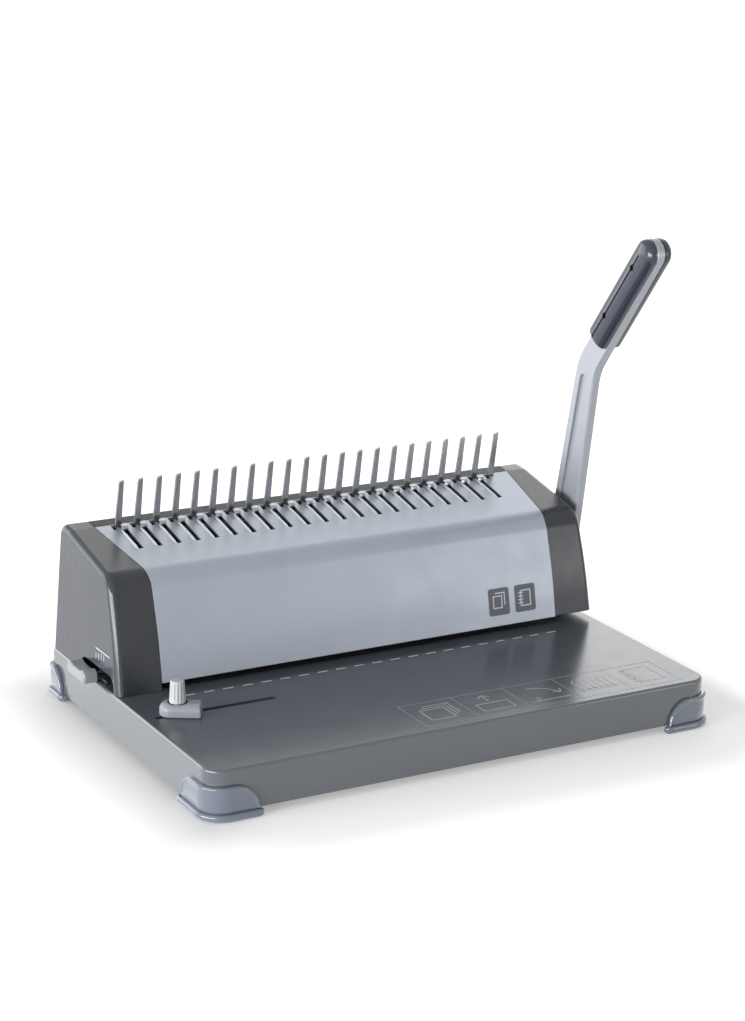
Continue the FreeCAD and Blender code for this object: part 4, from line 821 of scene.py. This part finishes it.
# Studio: floor, world, lamps, camera; lengths in metres

# the floor's lower glow values near the tray are a painted shadow round it
studio = {"floor": 0.8, "reach": 9.0, "ambient": 0.45, "halfX": 0.189, "halfY": 0.131, "midY": 0.0025,
          "shadowGlow": 0.31, "glowFar": 0.66, "lampSideShadowGlow": 0.07,
          "plainRun": (0.05, 0.11), "lampRun": (0.0, 0.085), "rightRun": (0.042, 0.07),
          "leftSide": (-0.19, -0.15), "rightSide": (0.17, 0.2)}
black = (0, 0, 0, 1)
white = (1, 1, 1, 1)


def buildFloor():
    mesh = bpy.data.meshes.new("studioFloor")
    r = studio["reach"]
    mesh.from_pydata([(-r, -r, 0), (r, -r, 0), (r, r, 0), (-r, r, 0)], [], [(0, 1, 2, 3)])
    floor = bpy.data.objects.new("studioFloor", mesh)
    scene.collection.objects.link(floor)
    tone = studio["floor"]
    paper = Finish("floorPaper", Base_Color=(tone, tone, tone, 1.0), Roughness=0.9, Specular_IOR_Level=0.0,
                   Emission_Strength=1.0)
    x, y = paper.axes()[:2]
    # painted shadow: the camera-ray glow is dimmed near the tray's outline, most on the lamp side, so a
    # shadow shows round the tray; away is the distance from that outline
    offX = x.calc("MAXIMUM", x.calc("ABSOLUTE", x) - studio["halfX"], 0.0)
    offY = y.calc("MAXIMUM", y.calc("ABSOLUTE", y - studio["midY"]) - studio["halfY"], 0.0)
    away = x.calc("POWER", offX * offX + offY * offY, 0.5)
    near, far = studio["shadowGlow"], studio["glowFar"]
    plain = paper.ramp(away, *studio["plainRun"], near, far)
    lampSide = paper.ramp(away, *studio["lampRun"], studio["lampSideShadowGlow"], far)
    rightSide = paper.ramp(away, *studio["rightRun"], near, far)
    pastLeft = paper.ramp(x, *studio["leftSide"])
    pastRight = paper.ramp(x, *studio["rightSide"])
    glow = lampSide + (plain + (rightSide - plain) * pastRight - lampSide) * pastLeft
    shiny = paper.ray("Glossy") + paper.ray("Transmission")
    paper.feed("Emission Color", paper.blend(paper.ray("Camera") * glow + shiny * far, black, white))
    mesh.materials.append(paper.material)


def buildWorld():
    # white for camera, glossy and transmission rays, soft light for the rest
    world = bpy.data.worlds.new("studioWorld")
    scene.world = world
    world.use_nodes = True
    sky = Shading(world.node_tree)
    seen = sky.ray("Camera") + sky.ray("Glossy") + sky.ray("Transmission")
    seen = seen.calc("MINIMUM", seen, 1.0)
    backdrop = sky.node("ShaderNodeBackground", sockets={"Color": white, "Strength": 1.0})
    soft = sky.tree.nodes["Background"]
    soft.inputs["Color"].default_value = white
    soft.inputs["Strength"].default_value = studio["ambient"]
    choose = sky.node("ShaderNodeMixShader", sockets={0: seen, 1: Wire(sky, soft.outputs[0]), 2: backdrop})
    sky.tree.links.new(choose.socket, sky.tree.nodes["World Output"].inputs["Surface"])


# a lamp that isn't seen lights the object but leaves no reflection
lamps = {
    "leftSoftbox": {"place": (-1.85, -0.25, 0.4), "size": (1.6, 1.0), "watts": 13.0, "seen": False},
    "edgePanel": {"place": (-1.8, -0.5, 0.2), "size": (2.1, 0.6), "watts": 44.0, "seen": True},
    "rearPanel": {"place": (-1.1, 1.5, 0.35), "size": (1.5, 1.2), "watts": 12.0, "seen": True},
    "topPanel": {"place": (0.8, 1.25, 1.25), "size": (1.5, 0.9), "watts": 4.5, "seen": True},
    "trayPanel": {"place": (1.25, 1.7, 0.62), "size": (0.9, 0.7), "watts": 4.1, "seen": True},
    "rightPanel": {"place": (0.98, -1.22, 0.28), "size": (0.36, 0.36), "watts": 1.6, "seen": True},
    "frontFill": {"place": (0.5, -2.0, 0.8), "size": (1.4, 1.2), "watts": 2.0, "seen": False},
}
lampAim = Vector((0, 0, 0.06))


def buildLamps():
    for name, lamp in lamps.items():
        data = bpy.data.lights.new(name, "AREA")
        data.shape = "RECTANGLE"
        data.size, data.size_y = lamp["size"]
        data.energy = lamp["watts"]
        thing = bpy.data.objects.new(name, data)
        scene.collection.objects.link(thing)
        thing.location = lamp["place"]
        thing.rotation_euler = (lampAim - Vector(lamp["place"])).to_track_quat("-Z", "Y").to_euler()
        thing.visible_camera = False
        thing.visible_glossy = lamp["seen"]


# the camera that was fitted to the photograph: angles in degrees, lens and sensor in mm
shot = {"azimuth": -28.818, "elevation": 16.361, "roll": 0.775, "place": (-0.78925, -1.4228, 0.6219),
        "lens": 87.76, "sensor": 36.0, "clip": (0.05, 60.0)}


def buildCamera():
    azimuth, elevation, roll = (math.radians(shot[key]) for key in ("azimuth", "elevation", "roll"))
    level = math.cos(elevation)
    back = Vector((math.sin(azimuth) * level, -math.cos(azimuth) * level, math.sin(elevation)))
    flatRight = Vector((math.cos(azimuth), math.sin(azimuth), 0))
    flatUp = back.cross(flatRight)
    right = flatRight * math.cos(roll) + flatUp * math.sin(roll)
    up = flatUp * math.cos(roll) - flatRight * math.sin(roll)
    data = bpy.data.cameras.new("shotCamera")
    data.sensor_fit = "AUTO"
    data.sensor_width = shot["sensor"]
    data.lens = shot["lens"]
    data.clip_start, data.clip_end = shot["clip"]
    camera = bpy.data.objects.new("shotCamera", data)
    scene.collection.objects.link(camera)
    turn = Matrix((right, up, back)).transposed().to_4x4()
    camera.matrix_world = Matrix.Translation(Vector(shot["place"])) @ turn
    scene.camera = camera


buildFloor()
buildWorld()
buildLamps()
buildCamera()
scene.view_settings.view_transform = "Standard"
print("studio built")
